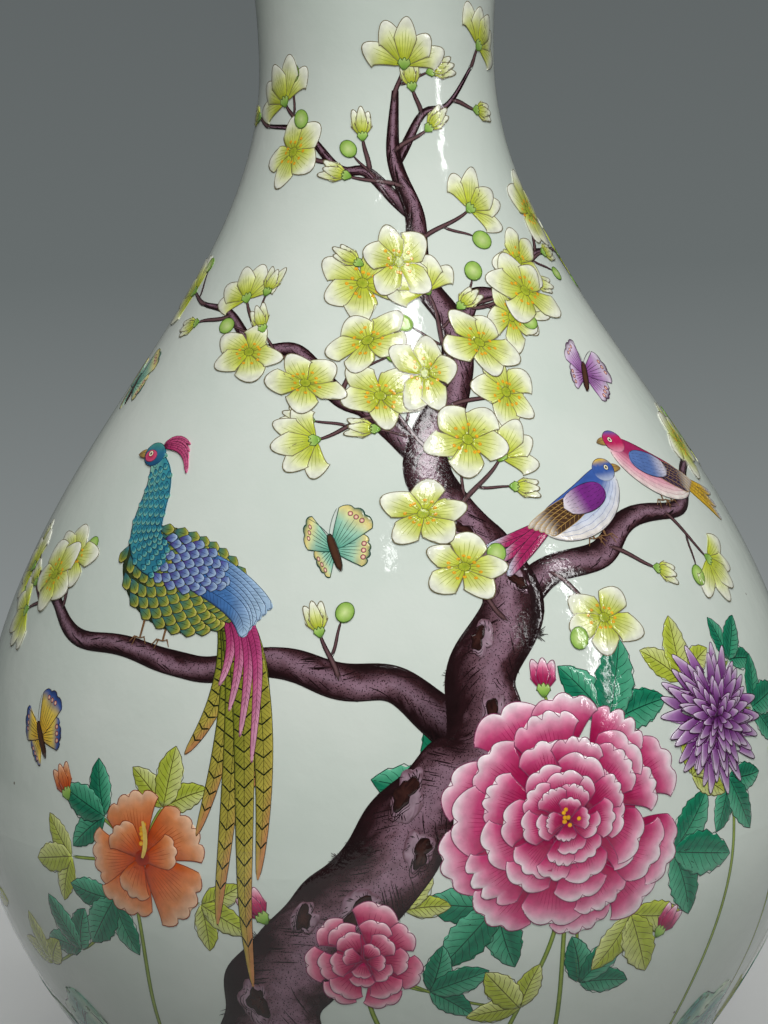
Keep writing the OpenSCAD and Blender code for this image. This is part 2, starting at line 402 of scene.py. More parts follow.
def lathe_tree():
    """A tree that turns an outline's points about the axis."""
    tree, given = new_tree(
        "lathe", {"Outline": "Object", "Turns": "Int", "Rings": "Int", "Finish": "Material"})
    line = add(tree, "GeometryNodeObjectInfo", None, {"Object": given["Outline"]})
    columns = add(tree, "ShaderNodeMath", {"operation": "ADD"}, {0: given["Turns"], 1: 1.0})
    grid = add(tree, "GeometryNodeMeshGrid", None,
               {"Size X": 1.0, "Size Y": 1.0, "Vertices X": columns, "Vertices Y": given["Rings"]})
    at = add(tree, "ShaderNodeSeparateXYZ", None, {0: add(tree, "GeometryNodeInputPosition").outputs[0]})
    last = add(tree, "ShaderNodeMath", {"operation": "SUBTRACT"}, {0: given["Rings"], 1: 1.0})
    share = add(tree, "ShaderNodeMath", {"operation": "ADD"}, {0: at.outputs["Y"], 1: 0.5})
    ring = add(tree, "ShaderNodeMath", {"operation": "MULTIPLY"}, {0: share, 1: last})
    whole = add(tree, "ShaderNodeMath", {"operation": "ROUND"}, {0: ring})
    point = add(tree, "GeometryNodeSampleIndex", {"data_type": "FLOAT_VECTOR", "domain": "POINT"},
                {"Geometry": line.outputs["Geometry"],
                 "Value": add(tree, "GeometryNodeInputPosition").outputs[0], "Index": whole})
    angle = add(tree, "ShaderNodeMath", {"operation": "MULTIPLY"}, {0: at.outputs["X"], 1: 2 * math.pi})
    turned = add(tree, "ShaderNodeVectorRotate", {"rotation_type": "Z_AXIS"},
                 {"Vector": point.outputs["Value"], "Angle": angle})
    moved = add(tree, "GeometryNodeSetPosition", None,
                {"Geometry": grid.outputs["Mesh"], "Position": turned})
    closed = add(tree, "GeometryNodeMergeByDistance", None, {"Geometry": moved, "Distance": JOIN})
    smooth = add(tree, "GeometryNodeSetShadeSmooth", None, {"Geometry": closed})
    end_tree(tree, smooth, given["Finish"])
    return tree


lathe = lathe_tree()
print("Lathe tree:", len(lathe.nodes), "nodes")


# %% Run a tree
def line_object(name, points):
    """A bare line of points as an object that a tree can read."""
    mesh = bpy.data.meshes.new(name)
    mesh.from_pydata([tuple(p) for p in points], [(i, i + 1) for i in range(len(points) - 1)], [])
    made = bpy.data.objects.new(name, mesh)
    scene.collection.objects.link(made)
    return made


def grow(name, mesh, tree, values):
    """Runs a tree on a mesh and keeps the result as a plain mesh object at the origin."""
    made = bpy.data.objects.new(name, mesh)
    scene.collection.objects.link(made)
    modifier = made.modifiers.new("grow", "NODES")
    modifier.node_group = tree
    for item in tree.interface.items_tree:
        if item.in_out == "INPUT" and item.name in values:
            modifier[item.identifier] = values[item.name]
    graph = bpy.context.evaluated_depsgraph_get()
    shaped = made.evaluated_get(graph)
    result = bpy.data.meshes.new_from_object(shaped, preserve_all_data_layers=True, depsgraph=graph)
    result.name = name
    made.modifiers.clear()
    made.data = result
    bpy.data.meshes.remove(mesh)
    return made


print("Trees are run once and leave a plain mesh")

# %% Turn the outer coat
COAT = 0.5 * MM
LATHE_TURNS = 240
# The hidden side of a coat needs only one point in this many
HIDDEN_STEP = 6


def coat_loop(line):
    """A closed outline: along the shown side of a coat, and back along its hidden side."""
    way = np.gradient(line, axis=0)
    way /= np.linalg.norm(way, axis=1, keepdims=True)
    depth = np.stack([-way[:, 1], way[:, 0]], -1) * COAT
    hidden = np.maximum(line + depth, [0, 0])
    keep = sorted({0, len(line) - 1, *range(0, len(line), HIDDEN_STEP)})
    return np.vstack([line, hidden[keep[::-1]], line[:1]])


def turn_coat(name, line, node):
    """Turns a closed coat on the lathe, to stand for a CAD node."""
    loop = coat_loop(line)
    outline = line_object(name + "_outline", [(0, -r, z) for r, z in loop])
    coat = grow(name, bpy.data.meshes.new(name + "_blank"), lathe,
                {"Outline": outline, "Turns": LATHE_TURNS, "Rings": len(loop), "Finish": glaze})
    bpy.data.objects.remove(outline)
    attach(coat, "root")
    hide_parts(node)
    print(name, len(coat.data.polygons), "faces")


turn_coat("outer_coat", outer, "outer_glaze")

# %% Turn the inner coat
top = cad_box[1].z
# The shown side of the inner coat: the wall that faces the axis, the top of the lip and the floor of the bowl
inner = side_points(
    "inner_glaze",
    lambda out, up, z: out < -0.02 or (up > 0.6 and (z > 0.98 * top or z < 0.1 * top)))
# Up to the narrowest line its points are sorted by height, and from there to the lip by radius
waist = inner[np.argmin(np.where(inner[:, 1] > 0.5 * top, inner[:, 0], 1))][1]
order = np.lexsort((inner[:, 0], np.where(inner[:, 1] < waist, inner[:, 1], waist)))
inner = smooth_outline(inner[order])[::-1]
turn_coat("inner_coat", inner, "inner_glaze")

# %% [markdown]
# ## A flat map to paint on
# An enameller turns the vase in the hand and paints on the round. A script paints more easily on paper, so
# all marks are drawn on a flat map whose two directions are the turn round the vase and the way up its
# outline. A third direction is the height of the enamel above the glaze. A mark is a small grid of points
# with a colour at each point, so a wash can fade from root to rim as a loaded brush does.


# %% Paper
def turning(tilt, size, flip=1):
    """The matrix that sizes a drawing, mirrors it where flip is -1, and turns it by degrees."""
    c, s = math.cos(math.radians(tilt)), math.sin(math.radians(tilt))
    return np.array([[c, -s], [s, c]]) * np.broadcast_to(size, 2) * [flip, 1]


class Place:
    """A spot on the vase with its own paper, in millimetres to the right and up."""

    # How much the enamel rises for each millimetre up the paper
    lift = 0.0

    def __init__(self, turn, length, tilt=0, size=1, flip=1):
        self.turn, self.length = turn, length
        self.shift = np.zeros(2)
        self.matrix = turning(tilt, size, flip)

    @property
    def scale(self):
        return math.sqrt(abs(np.linalg.det(self.matrix)))

    def inner(self, x, y, tilt=0, size=1):
        """A paper that lies on this one."""
        made = copy.copy(self)
        made.shift = self.shift + self.matrix @ (x, y)
        made.matrix = self.matrix @ turning(tilt, size)
        return made

    def map(self, points):
        """Turn and length on the map for points on this paper."""
        flat = (np.asarray(points) @ self.matrix.T + self.shift) * MM
        length = self.length + flat[..., 1]
        return np.stack([self.turn + flat[..., 0] / np.interp(length, out_length, out_r), length], -1)


def on_vase(azimuth, height, tilt=0, size=1, flip=1):
    """A paper at degrees to the right of the front and millimetres above the foot."""
    return Place(math.radians(azimuth), np.interp(height * MM, out_z, out_length), tilt, size, flip)


print("A paper at the widest line:", on_vase(0, 90).map([(0, 0), (10, 0)]).round(4).tolist())

# %% Strips of paper
LIMB_STEPS = 10


class Limb:
    """A branch as a bent strip of paper, in millimetres across it and along it."""

    scale, lift = 1, 0.0

    def __init__(self, points):
        azimuth, height, half = np.array(points, float).T
        length = np.interp(height * MM, out_z, out_length)
        line = through(np.stack([np.radians(azimuth), length, half], -1), LIMB_STEPS)
        self.turn, self.length, self.half_width = line.T
        self.radius = np.interp(self.length, out_length, out_r)
        way = np.stack([np.gradient(self.turn) * self.radius, np.gradient(self.length)], -1)
        self.along = np.concatenate([[0], np.cumsum(np.hypot(*(way[1:] + way[:-1]).T / 2))]) / MM
        self.way = way / np.linalg.norm(way, axis=1, keepdims=True)
        self.long = self.along[-1]

    def at(self, y, what):
        return np.interp(y, self.along, what)

    def half(self, y):
        return self.at(y, self.half_width)

    def map(self, points):
        x, y = np.asarray(points)[..., 0] * MM, np.asarray(points)[..., 1]
        turn = self.at(y, self.turn) + x * self.at(y, self.way[:, 1]) / self.at(y, self.radius)
        return np.stack([turn, self.at(y, self.length) - x * self.at(y, self.way[:, 0])], -1)

    def spot(self, share, across, tilt=0):
        """A paper at a share of the branch's length, turned with the branch."""
        y = share * self.long
        lean = math.degrees(math.atan2(-self.at(y, self.way[:, 0]), self.at(y, self.way[:, 1])))
        return Place(*self.map((across, y)), lean + tilt)


print("Strips bend in", LIMB_STEPS, "steps from one point to the next")


# %% A belt
class Belt:
    """A paper that goes all the way round, in degrees and in millimetres of height."""

    # Low on the belly a degree is about this many millimetres wide
    scale, lift = 1.3, 0.0

    def map(self, points):
        x, y = np.asarray(points)[..., 0], np.asarray(points)[..., 1]
        return np.stack([np.radians(x), np.interp(y * MM, out_z, out_length)], -1)


print("A belt at the widest line:", Belt().map([(-180, 90), (180, 90)]).round(4).tolist())

# %% A sheet of marks
# Each layer of enamel lies this far over the last
LAYER = 0.006 * MM
# How high each motif starts above the glaze in mm, so that what is in front lies over what is behind
LEVELS = {
    "stem": 0.010, "leaf": 0.014, "bank": 0.020, "small rock": 0.040, "limb": 0.072, "limb bark": 0.076,
    "trunk": 0.084, "flower bud": 0.085, "trunk bark": 0.088, "large rock": 0.090, "scar": 0.095,
    "twig": 0.096, "flower": 0.115, "bird": 0.115, "spray": 0.120, "top blossom": 0.260,
}


class Sheet:
    """Gathers marks of enamel, each a grid of points in cells of some millimetres."""

    def __init__(self, cell=1.0):
        self.cell = cell
        self.level = 0.0
        self.points, self.faces, self.colours, self.pools, self.corners = [], [], [], [], []
        self.count = 0
        self.swatches = {}

    def start(self, motif, rise=0.0):
        """Starts a motif at its level, or some millimetres over that."""
        self.level = (LEVELS[motif] + rise) * MM

    def next(self):
        """Lets the next mark lie over the marks so far."""
        self.level += LAYER

    def patch(self, where, height, colour, swatch, closed=False, pool=0.0):
        """Adds a grid of points, wound so that its faces look outwards. A closed one meets itself."""
        rows, columns = height.shape
        index = np.arange(rows * columns).reshape(rows, columns)
        if closed:
            index = np.concatenate([index, index[:, :1]], 1)
        spots = where.reshape(-1, 2)[index]
        one, two = spots[1:, 1:] - spots[:-1, :-1], spots[1:, :-1] - spots[:-1, 1:]
        inwards = np.sum(np.sign(one[..., 0] * two[..., 1] - one[..., 1] * two[..., 0])) < 0
        # Each mark gets a square of the texture map, and marks of the same colours share theirs
        number = self.swatches.setdefault(swatch, len(self.swatches))
        square = np.stack(np.meshgrid(*(np.linspace(0, 1, n) for n in index.shape), indexing="ij"), -1)
        square = np.concatenate([square, np.full((*index.shape, 1), number)], -1)
        for grid, kept in ((self.count + index, self.faces), (square, self.corners)):
            quads = np.stack([grid[:-1, :-1], grid[:-1, 1:], grid[1:, 1:], grid[1:, :-1]], 2)
            kept.append((quads[:, :, ::-1] if inwards else quads).reshape(-1, 4, *grid.shape[2:]))
        self.points.append(np.concatenate([where, height[..., None]], -1).reshape(-1, 3))
        for given, kept in ((colour, self.colours), (pool, self.pools)):
            kept.append(np.broadcast_to(given, (rows, columns, 3)).reshape(-1, 3))
        self.count += rows * columns


print("Layers of enamel", LAYER / MM, "mm apart")

# %% A brush
# A line lies this far over its wash
LINE = 0.003 * MM
# A pool of wet enamel stands higher in its middle, by a share of its width and at most by this in mm
POOL_SHARE, POOL_MOST = 0.04, 0.3


class Painting(Sheet):
    """A sheet and the ways to paint on it: a wash over a form, a line, and a line round a form."""

    def fill(self, place, form, colour, least=5, swatch=None):
        """A wash of enamel over a form, with an edge that goes down to the glaze."""
        s, v = np.meshgrid(np.linspace(0, 1, 9), np.linspace(-1, 1, 9), indexing="ij")
        rough = form(s, v) * place.scale
        long = np.linalg.norm(np.diff(rough, axis=0), axis=-1).sum(0).max()
        wide = np.linalg.norm(np.diff(rough, axis=1), axis=-1).sum(1).max()
        rows = int(np.clip(long / self.cell, 4, 300)) + 2
        columns = int(np.clip(wide / self.cell, least, 600)) + 2
        closed = getattr(form, "closed", False)
        across = np.sin(np.linspace(-math.pi / 2, math.pi / 2, columns))
        if closed:
            across = np.linspace(-1, 1, columns, endpoint=False)
        s, v = np.meshgrid(np.sin(np.linspace(0, math.pi / 2, rows)), across, indexing="ij")
        # A row of points on each open side goes down to the glaze
        edge = ((int(not form.has_heart), 1), (0, 0)) if closed else ((1, 1), (1, 1))
        flat = form(s, v)
        where = np.pad(place.map(flat), (*edge, (0, 0)), "edge")
        shade = np.pad(np.broadcast_to(colour(s, v), (*s.shape, 3)), (*edge, (0, 0)), "edge")
        height = np.pad(self.level + place.lift * flat[..., 1] * MM, edge)
        # Two ways to the rim, both 1 there, and the depth of the pool
        deep = np.full(s.shape, min(POOL_SHARE * min(long, wide), POOL_MOST))
        pool = np.stack([s, 0 * s, deep] if closed else [v, s, deep], -1)
        pool = np.pad(pool, (*edge, (0, 0)), "edge")
        self.patch(where, height, shade, swatch or self.count, closed, pool)

    def stroke(self, place, path, half, colour, taper):
        """A line of enamel along a path on the paper, thinner at its ends."""
        path = np.asarray(path, float)
        way = np.gradient(path, axis=0)
        way /= np.maximum(np.linalg.norm(way, axis=1, keepdims=True), 1e-9)
        share = np.linspace(0, 1, len(path))[:, None]
        reach = half / place.scale * (1 - taper + taper * np.sqrt(np.sin(math.pi * share)))
        side = np.stack([-way[:, 1], way[:, 0]], -1) * reach
        where = place.map(np.stack([path - side, path + side], 1))
        height = self.level + LINE + place.lift * path[:, 1:] * MM
        self.patch(where, np.repeat(height, 2, axis=1), colour, tuple(colour))

    def outline(self, place, form, half, colour):
        """A thin line round a form: up one side, along the rim and down the other."""
        rough = form(np.linspace(0, 1, 9), -np.ones(9)) * place.scale
        n = int(np.clip(np.linalg.norm(np.diff(rough, axis=0), axis=-1).sum(), 8, 300))
        s, v = np.linspace(0.02, 1, n), np.linspace(-1, 1, 21)
        path = [form(s, -np.ones(n)), form(np.ones(21), v)[1:-1], form(s, np.ones(n))[::-1]]
        self.stroke(place, np.concatenate(path), half, colour, 0.25)

    def rim(self, place, form, half, colour, start=-1.0, end=1.0):
        """A thin line along the rim of a round form, or along a part of it."""
        v = np.linspace(start, end, 37)
        self.stroke(place, form(np.ones(37), v), half, colour, 0.25)

    def mark(self, place, form, colour, least, half, line, swatch=None):
        """A wash with a thin line round it, under the next mark."""
        self.fill(place, form, colour, least, swatch)
        edge = self.rim if getattr(form, "closed", False) else self.outline
        edge(place, form, half, line)
        self.next()


print("Pools of enamel stand up to", POOL_MOST, "mm high")


# %% Scales of colour
def ramp(stops):
    """A scale of colours through hex codes at places from 0 to 1."""
    colours = np.array([linear(code) for code in stops.values()])
    return lambda t: np.stack([np.interp(t, list(stops), colours[:, i]) for i in range(3)], -1)


print("Half way from black to white:", ramp({0: "#000000", 1: "#ffffff"})(0.5).tolist())

# %% Leaves and petals
# Each form maps s, from root to tip, and v, from side to side, to millimetres on the paper.


def shaped(form):
    """Lets a form take any numbers or arrays of s and v that fit together."""
    return lambda s, v: form(*np.broadcast_arrays(np.asarray(s, float), np.asarray(v, float)))


def curve(points):
    """A curve from the first point to the last, drawn towards those between, as a function of s."""
    def at(s):
        runs = [np.multiply.outer(np.ones_like(s), p) for p in np.array(points, float)]
        while len(runs) > 1:
            runs = [a + (b - a) * np.asarray(s)[..., None] for a, b in zip(runs, runs[1:])]
        return runs[0]
    return at


def blade(spine, wide, root, tip, teeth=0):
    """A leaf, feather or body along a curve. Small root and tip values give blunt ends."""
    at = curve(spine)
    most = (root / (root + tip)) ** root * (tip / (root + tip)) ** tip

    @shaped
    def form(s, v):
        ahead = at(s + 0.01) - at(s - 0.01)
        ahead = ahead / np.linalg.norm(ahead, axis=-1, keepdims=True)
        half = wide / 2 * np.clip(s, 0, 1) ** root * np.clip(1 - s, 0, 1) ** tip / most
        if teeth:
            half = half * (0.86 + 0.22 * (1 - (teeth * s) % 1))
        side = np.stack([ahead[..., 1], -ahead[..., 0]], -1)
        return at(s) + side * (half * v)[..., None]

    return form


def petal(long, wide, blunt, bow, lobes, notch, bend=0.0):
    """A petal that widens from its root to a rounded or lobed rim."""
    @shaped
    def form(s, v):
        half = wide / 2 * s**0.6 * (1 - (1 - blunt) * s**3)
        dip = 1 - np.abs(np.sin(math.pi * lobes * (v + 1) / 2)) ** 0.6
        rise = long * (s - bow * s**2 * v**2 - notch * s**4 * dip)
        return np.stack([half * v + bend * long * s**2, rise], -1)
    return form


print("Forms: blade and petal")

# %% Blobs and strips
# Random waves start anywhere in a turn of about this many radians
TURN = 6.28


def oval(wide, high, x=0.0, y=0.0, wobble=0.0, seed=0):
    """A round or oval blob, with a lumpy rim where it wobbles."""
    rise = np.random.default_rng(seed).uniform(0, TURN, 8)

    @shaped
    def form(s, v):
        a = math.pi * v
        waves = sum(np.sin(k * a + rise[k]) / k for k in (2, 3, 5, 7))
        rim = 1 + wobble * (waves + 0.5 * np.abs(np.sin(3 * a + rise[0])))
        return np.stack([x + wide / 2 * s * rim * np.sin(a), y - high / 2 * s * rim * np.cos(a)], -1)

    form.closed = form.has_heart = True
    return form


def strip(limb, rough, seed):
    """The form of a branch on its own strip of paper, with an uneven edge."""
    wave = np.random.default_rng(seed).uniform(0, TURN, 8)

    @shaped
    def form(s, v):
        y = s * limb.long
        lump = sum(np.sin(y / (9 / k) + wave[k] + v * 1.3) / k for k in range(1, 6))
        return np.stack([v * limb.half(y) * (1 + rough * lump), y], -1)

    return form


print("Forms: oval and strip")

# %% Wrap a painting round the vase
# The tree reads each point of the flat map, finds the outline at its length, steps out along the outline's
# normal by the enamel's height, and turns the result about the axis.

# Neighbours on a mark that are closer than this become one point
MARK_JOIN = 0.0002 * MM


def wrap_tree():
    """A tree that lays a flat painting on the vase."""
    tree, given = new_tree(
        "wrap_painting", {"Painting": "Geometry", "Outline": "Object", "Finish": "Material"})
    line = add(tree, "GeometryNodeObjectInfo", None, {"Object": given["Outline"]})
    rail = add(tree, "GeometryNodeMeshToCurve", None, {"Mesh": line.outputs["Geometry"]})
    flat = add(tree, "ShaderNodeSeparateXYZ", None, {0: add(tree, "GeometryNodeInputPosition").outputs[0]})
    spot = add(tree, "GeometryNodeSampleCurve", {"mode": "LENGTH", "use_all_curves": True},
               {"Curves": rail, "Length": flat.outputs["Y"]})
    outward = add(tree, "ShaderNodeVectorMath", {"operation": "CROSS_PRODUCT"},
                  {0: (1.0, 0.0, 0.0), 1: spot.outputs["Tangent"]})
    raised = add(tree, "ShaderNodeVectorMath", {"operation": "SCALE"},
                 {0: outward, "Scale": flat.outputs["Z"]})
    proud = add(tree, "ShaderNodeVectorMath", {"operation": "ADD"},
                {0: spot.outputs["Position"], 1: raised})
    turned = add(tree, "ShaderNodeVectorRotate", {"rotation_type": "Z_AXIS"},
                 {"Vector": proud, "Angle": flat.outputs["X"]})
    moved = add(tree, "GeometryNodeSetPosition", None,
                {"Geometry": given["Painting"], "Position": turned})
    closed = add(tree, "GeometryNodeMergeByDistance", {"mode": "CONNECTED"},
                 {"Geometry": moved, "Distance": MARK_JOIN})
    smooth = add(tree, "GeometryNodeSetShadeSmooth", None, {"Geometry": closed})
    end_tree(tree, smooth, given["Finish"])
    return tree


wrap = wrap_tree()
print("Wrap tree:", len(wrap.nodes), "nodes")

# %% Fire a sheet
rail_line = line_object("painting_outline", [(0, -r, z) for r, z in outer])


# The margin of a mark's square on the texture map, as a share of the square
SWATCH_RIM = 0.12


def fire(name, sheet):
    """Makes a sheet's marks one mesh, wraps it round the vase and hands it over as a piece."""
    mesh = bpy.data.meshes.new(name + "_flat")
    points, faces = np.concatenate(sheet.points), np.concatenate(sheet.faces)
    mesh.from_pydata(points, [], faces)
    colours = mesh.attributes.new("enamel", "FLOAT_COLOR", "POINT")
    full = np.ones((len(points), 4))
    full[:, :3] = np.concatenate(sheet.colours)
    colours.data.foreach_set("color", full.ravel())
    pools = mesh.attributes.new("pool", "FLOAT_VECTOR", "POINT")
    pools.data.foreach_set("vector", np.concatenate(sheet.pools).ravel())
    corners = np.concatenate(sheet.corners).reshape(-1, 3)
    across = math.ceil(math.sqrt(len(sheet.swatches)))
    number = corners[:, 2].astype(int)
    squares = np.stack([number % across, number // across], -1)
    places = (squares + SWATCH_RIM + (1 - 2 * SWATCH_RIM) * corners[:, :2]) / across
    mesh.uv_layers.new(name="OFBake").data.foreach_set("uv", places.ravel())
    piece = grow(name, mesh, wrap, {"Outline": rail_line, "Finish": enamel})
    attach(piece, "root")
    print(name, len(sheet.points), "marks in", len(piece.data.polygons), "faces")
    return piece


print("Swatches keep", round(100 * SWATCH_RIM), "% of their square as a margin")

# %% [markdown]
# ## Trunk and branches
# An old flowering tree carries the picture. Painters lay a mauve-brown ground, darken both edges, stipple the
# bark and ring the scars where twigs broke off. Here a branch is a bent strip of paper, so the bark's marks
# are placed in millimetres across and along it. The dots of the stippling are scattered by Geometry Nodes.

# %% Bark
BARK = ramp({0: "#1d0d0f", 0.16: "#2e1519", 0.34: "#6d4e58", 0.5: "#8f7180", 0.66: "#876675", 0.8: "#43252a",
             1: "#1d0d0f"})
BARK_LINE = linear("#1f0e10")
SCAR = ramp({0: "#432620", 0.6: "#331a17", 1: "#22100e"})
SCAR_RIM = ramp({0: "#8d7480", 0.6: "#a48c98", 0.82: "#8f7180", 1: "#6d4e58"})
limbs, bark_marks = Painting(), Painting(0.8)


def bark(limb, seed, marks):
    """Paints one limb: its ground, ragged dark edges and short strokes of bark, so many to a millimetre."""
    rng = np.random.default_rng(seed)
    form = strip(limb, 0.10, seed)
    wave = rng.uniform(0, TURN, 4)

    def ground(s, v):
        y = s * limb.long
        sway = 0.09 * np.sin(y / 6 + wave[0]) + 0.05 * np.sin(y / 2.1 + wave[1])
        sway = sway + rng.normal(0, 0.035, s.shape)
        shade = 0.75 * np.clip(1 - y / (3.5 * limb.half(0.0)), 0, 1)
        return BARK(np.clip((v + 1) / 2 + sway, 0, 1)) * (1 - shade)[..., None]

    limbs.fill(limb, form, ground, 9)
    for _ in range(int(marks * limb.long)):
        y = rng.uniform(0, 0.96) * limb.long
        x = rng.choice([-1, 1]) * rng.uniform(0.45, 0.98)
        run = np.linspace(0, rng.uniform(1.5, 4), 6)
        path = np.stack([limb.half(y + run) * (x - 0.12 * np.sign(x) * run), y + run], -1)
        bark_marks.stroke(limb, path, rng.uniform(0.06, 0.14), BARK_LINE, 0.9)
    bark_marks.outline(limb, form, 0.13, BARK_LINE)


print("Bark from its dark edge to its pale middle:", BARK(np.array([0, 0.5])).round(3).tolist())

# %% Limbs
# Each limb: azimuth in degrees, height and half its width in mm, from its root to its tip
TRUNK = Limb([
    (-28, 22, 11.5), (-20, 48, 9.8), (-15, 64, 9.6), (-4, 82, 8.8), (2, 97, 8.6), (11, 108, 8.0),
    (12, 122, 6.6), (17, 136, 6.2), (12, 149, 5.0), (7, 161, 4.5), (14, 175, 3.6), (17, 187, 3.0),
    (11, 199, 2.4), (12, 211, 1.9), (6, 223, 1.4), (8, 236, 0.6)])
PERCH = Limb([
    (8, 112, 4.6), (1, 121, 3.5), (-6, 122, 3.4), (-16, 126, 2.7), (-26, 124, 2.5), (-38, 127, 2.0),
    (-49, 128, 1.6), (-57, 134, 1.2), (-67, 138, 0.6)])
RIGHT = Limb([
    (15, 133, 3.8), (24, 141, 2.9), (33, 143, 2.6), (42, 149, 2.1), (56, 150, 1.6), (66, 157, 1.1),
    (79, 160, 0.5)])
LEFT_TOP = Limb([
    (9, 160, 3.0), (-2, 171, 2.2), (-9, 174, 2.0), (-20, 183, 1.5), (-31, 184, 1.2), (-44, 191, 0.8),
    (-58, 193, 0.4)])
RIGHT_TOP = Limb([(16, 185, 2.4), (25, 193, 1.7), (37, 194, 1.4), (48, 201, 1.0), (74, 203, 0.4)])
LEFT_NECK = Limb([(12, 210, 1.6), (-4, 219, 1.1), (-16, 220, 0.9), (-34, 228, 0.6), (-58, 230, 0.3)])
RIGHT_NECK = Limb([(7, 221, 1.1), (20, 231, 0.7), (33, 233, 0.5), (50, 241, 0.3)])
BACK_TRUNK = Limb([
    (214, 22, 9), (207, 46, 7.8), (196, 64, 7.2), (190, 82, 6.2), (177, 98, 5.8), (172, 114, 4.8),
    (178, 130, 4.2), (171, 147, 3.4), (176, 162, 2.7), (165, 178, 2.2), (167, 194, 1.6), (157, 212, 1.0),
    (160, 228, 0.4)])
BACK_LEFT = Limb([
    (189, 84, 4.0), (203, 96, 2.8), (215, 98, 2.4), (229, 108, 1.8), (244, 110, 1.4), (262, 120, 0.6)])
BACK_RIGHT = Limb([
    (173, 112, 3.2), (159, 123, 2.4), (146, 124, 2.1), (133, 134, 1.6), (119, 136, 1.2), (102, 146, 0.5)])
BACK_TOP = Limb([(172, 152, 2.4), (189, 164, 1.7), (203, 166, 1.4), (220, 177, 1.0), (244, 180, 0.4)])
LIMBS = [PERCH, RIGHT, LEFT_TOP, RIGHT_TOP, LEFT_NECK, RIGHT_NECK, BACK_LEFT, BACK_RIGHT, BACK_TOP]
for kind, group, first_seed, marks in (("limb", LIMBS, 40, 0.7), ("trunk", (TRUNK, BACK_TRUNK), 38, 1.6)):
    for seed, limb in enumerate(group, first_seed):
        limbs.start(kind)
        bark_marks.start(kind + " bark")
        bark(limb, seed, marks)
print("Limbs:", 2 + len(LIMBS), "with", len(bark_marks.points), "marks of bark")


# %% Scars and moss
def scar(limb, share, across, size, seed):
    """The scar of a lost twig: a pale swelling round a dark, ragged hollow."""
    rng = np.random.default_rng(seed)
    place = limb.spot(share, across * limb.half(share * limb.long), rng.normal(0, 20))
    bark_marks.start("scar")
    swelling = oval(size * 1.05, size * 1.7, wobble=0.34, seed=seed)
    bark_marks.fill(place, swelling, lambda s, v: SCAR_RIM(s + rng.normal(0, 0.09, s.shape)), 16)
    for _ in range(int(6 * size)):
        v, far = rng.uniform(-1, 1), rng.uniform(0.7, 1.04)
        run = np.linspace(far - rng.uniform(0.1, 0.3), far, 5)
        bark_marks.stroke(place, swelling(run, v + 0.3 * run), rng.uniform(0.05, 0.1), BARK_LINE, 0.9)
    bark_marks.next()
    hollow = oval(size * 0.6, size * 1.05, *rng.normal(0, 0.1 * size, 2), wobble=0.5, seed=seed + 1)
    bark_marks.fill(place, hollow, lambda s, v: SCAR(s + rng.normal(0, 0.2, s.shape)), 14)
    for reach, start in ((1.0, -1.0), (1.2, rng.uniform(-1, 0)), (1.42, rng.uniform(-1, 0))):
        v = np.linspace(start, start + (2 if reach == 1 else rng.uniform(0.5, 0.9)), 25)
        bark_marks.stroke(place, hollow(np.full(25, reach), v), 0.08, BARK_LINE, 0.7)


def moss(limb, share, across, seed):
    """A tuft of short dark strokes at the edge of the bark."""
    rng = np.random.default_rng(seed)
    place = limb.spot(share, 0.9 * across * limb.half(share * limb.long), -90 * np.sign(across))
    bark_marks.start("scar")
    for tilt in np.linspace(-80, 80, 13):
        a, long = math.radians(tilt), rng.uniform(1.0, 2.4)
        tip = np.array([math.sin(a), math.cos(a)]) * long
        bark_marks.stroke(place, [tip * 0.1, tip * 0.55 + [0.15, 0], tip], 0.09, BARK_LINE, 0.6)


print("Marks of age: scars and moss")

# %% Age the trunks
# Each row of a trunk's scars: share of its length, share of its half width to one side, and size in mm
SCARS = [
    (BACK_TRUNK, [(0.18, 0.45, 5), (0.27, -0.5, 4.4), (0.36, 0.35, 4), (0.47, -0.3, 3.2), (0.6, 0.3, 2.4)]),
    (TRUNK, [
        (0.075, -0.55, 6.4), (0.14, 0.5, 5), (0.175, -0.3, 5.6), (0.255, -0.6, 4), (0.285, 0.1, 5.8),
        (0.345, 0.5, 4.4), (0.37, -0.4, 5.2), (0.455, 0.25, 4.8), (0.51, -0.5, 3.6), (0.56, 0.4, 3.4),
        (0.61, -0.2, 3.0), (0.69, 0.3, 2.4), (0.76, -0.3, 2)]),
]
# Each row of a trunk's moss: share of its length, and its side
TUFTS = [
    (TRUNK, [(0.11, 1), (0.22, -1), (0.31, -1), (0.405, 1), (0.48, -1), (0.53, 1)]),
    (BACK_TRUNK, [(0.15, -1), (0.3, 1), (0.42, -1)]),
]
for age, table in ((scar, SCARS), (moss, TUFTS)):
    for limb, rows in table:
        for row in rows:
            age(limb, *row, int(row[0] * 1000))
print("With scars and moss:", len(bark_marks.points), "marks")

# %% [markdown]
# ## Blossom
# The tree flowers in pale yellow-green before its leaves come. A blossom seen from the front has five round
# petals and a brush of stamens. One seen from the side shows its cup. A bud is still folded, or a green bead.
# Each petal is a wash that fades from a green root to a near-white rim, with fine hatching and a thin line.

# %% Petals
# The colours of a petal: its wash from root to rim, its outline and its hatching
BLOSSOM = (ramp({0: "#b3bf22", 0.28: "#c5cf45", 0.55: "#dde38f", 0.8: "#eff2d4", 1: "#f4f5e8"}),
           linear("#7c7350"), linear("#a3ad45"))
CUP = ramp({0: "#6f9f3c", 0.5: "#93bd54", 1: "#b9d37e"})
CUP_LINE = linear("#4f6a2c")
POLLEN = ramp({0: "#f7c53a", 1: "#e89a17"})
THREAD = linear("#8a8a2c")
BEAD = ramp({0: "#cfe09a", 0.7: "#a6ca62", 1: "#86b04c"})
HEART = ramp({0: "#8fa32a", 1: "#b9c23a"})
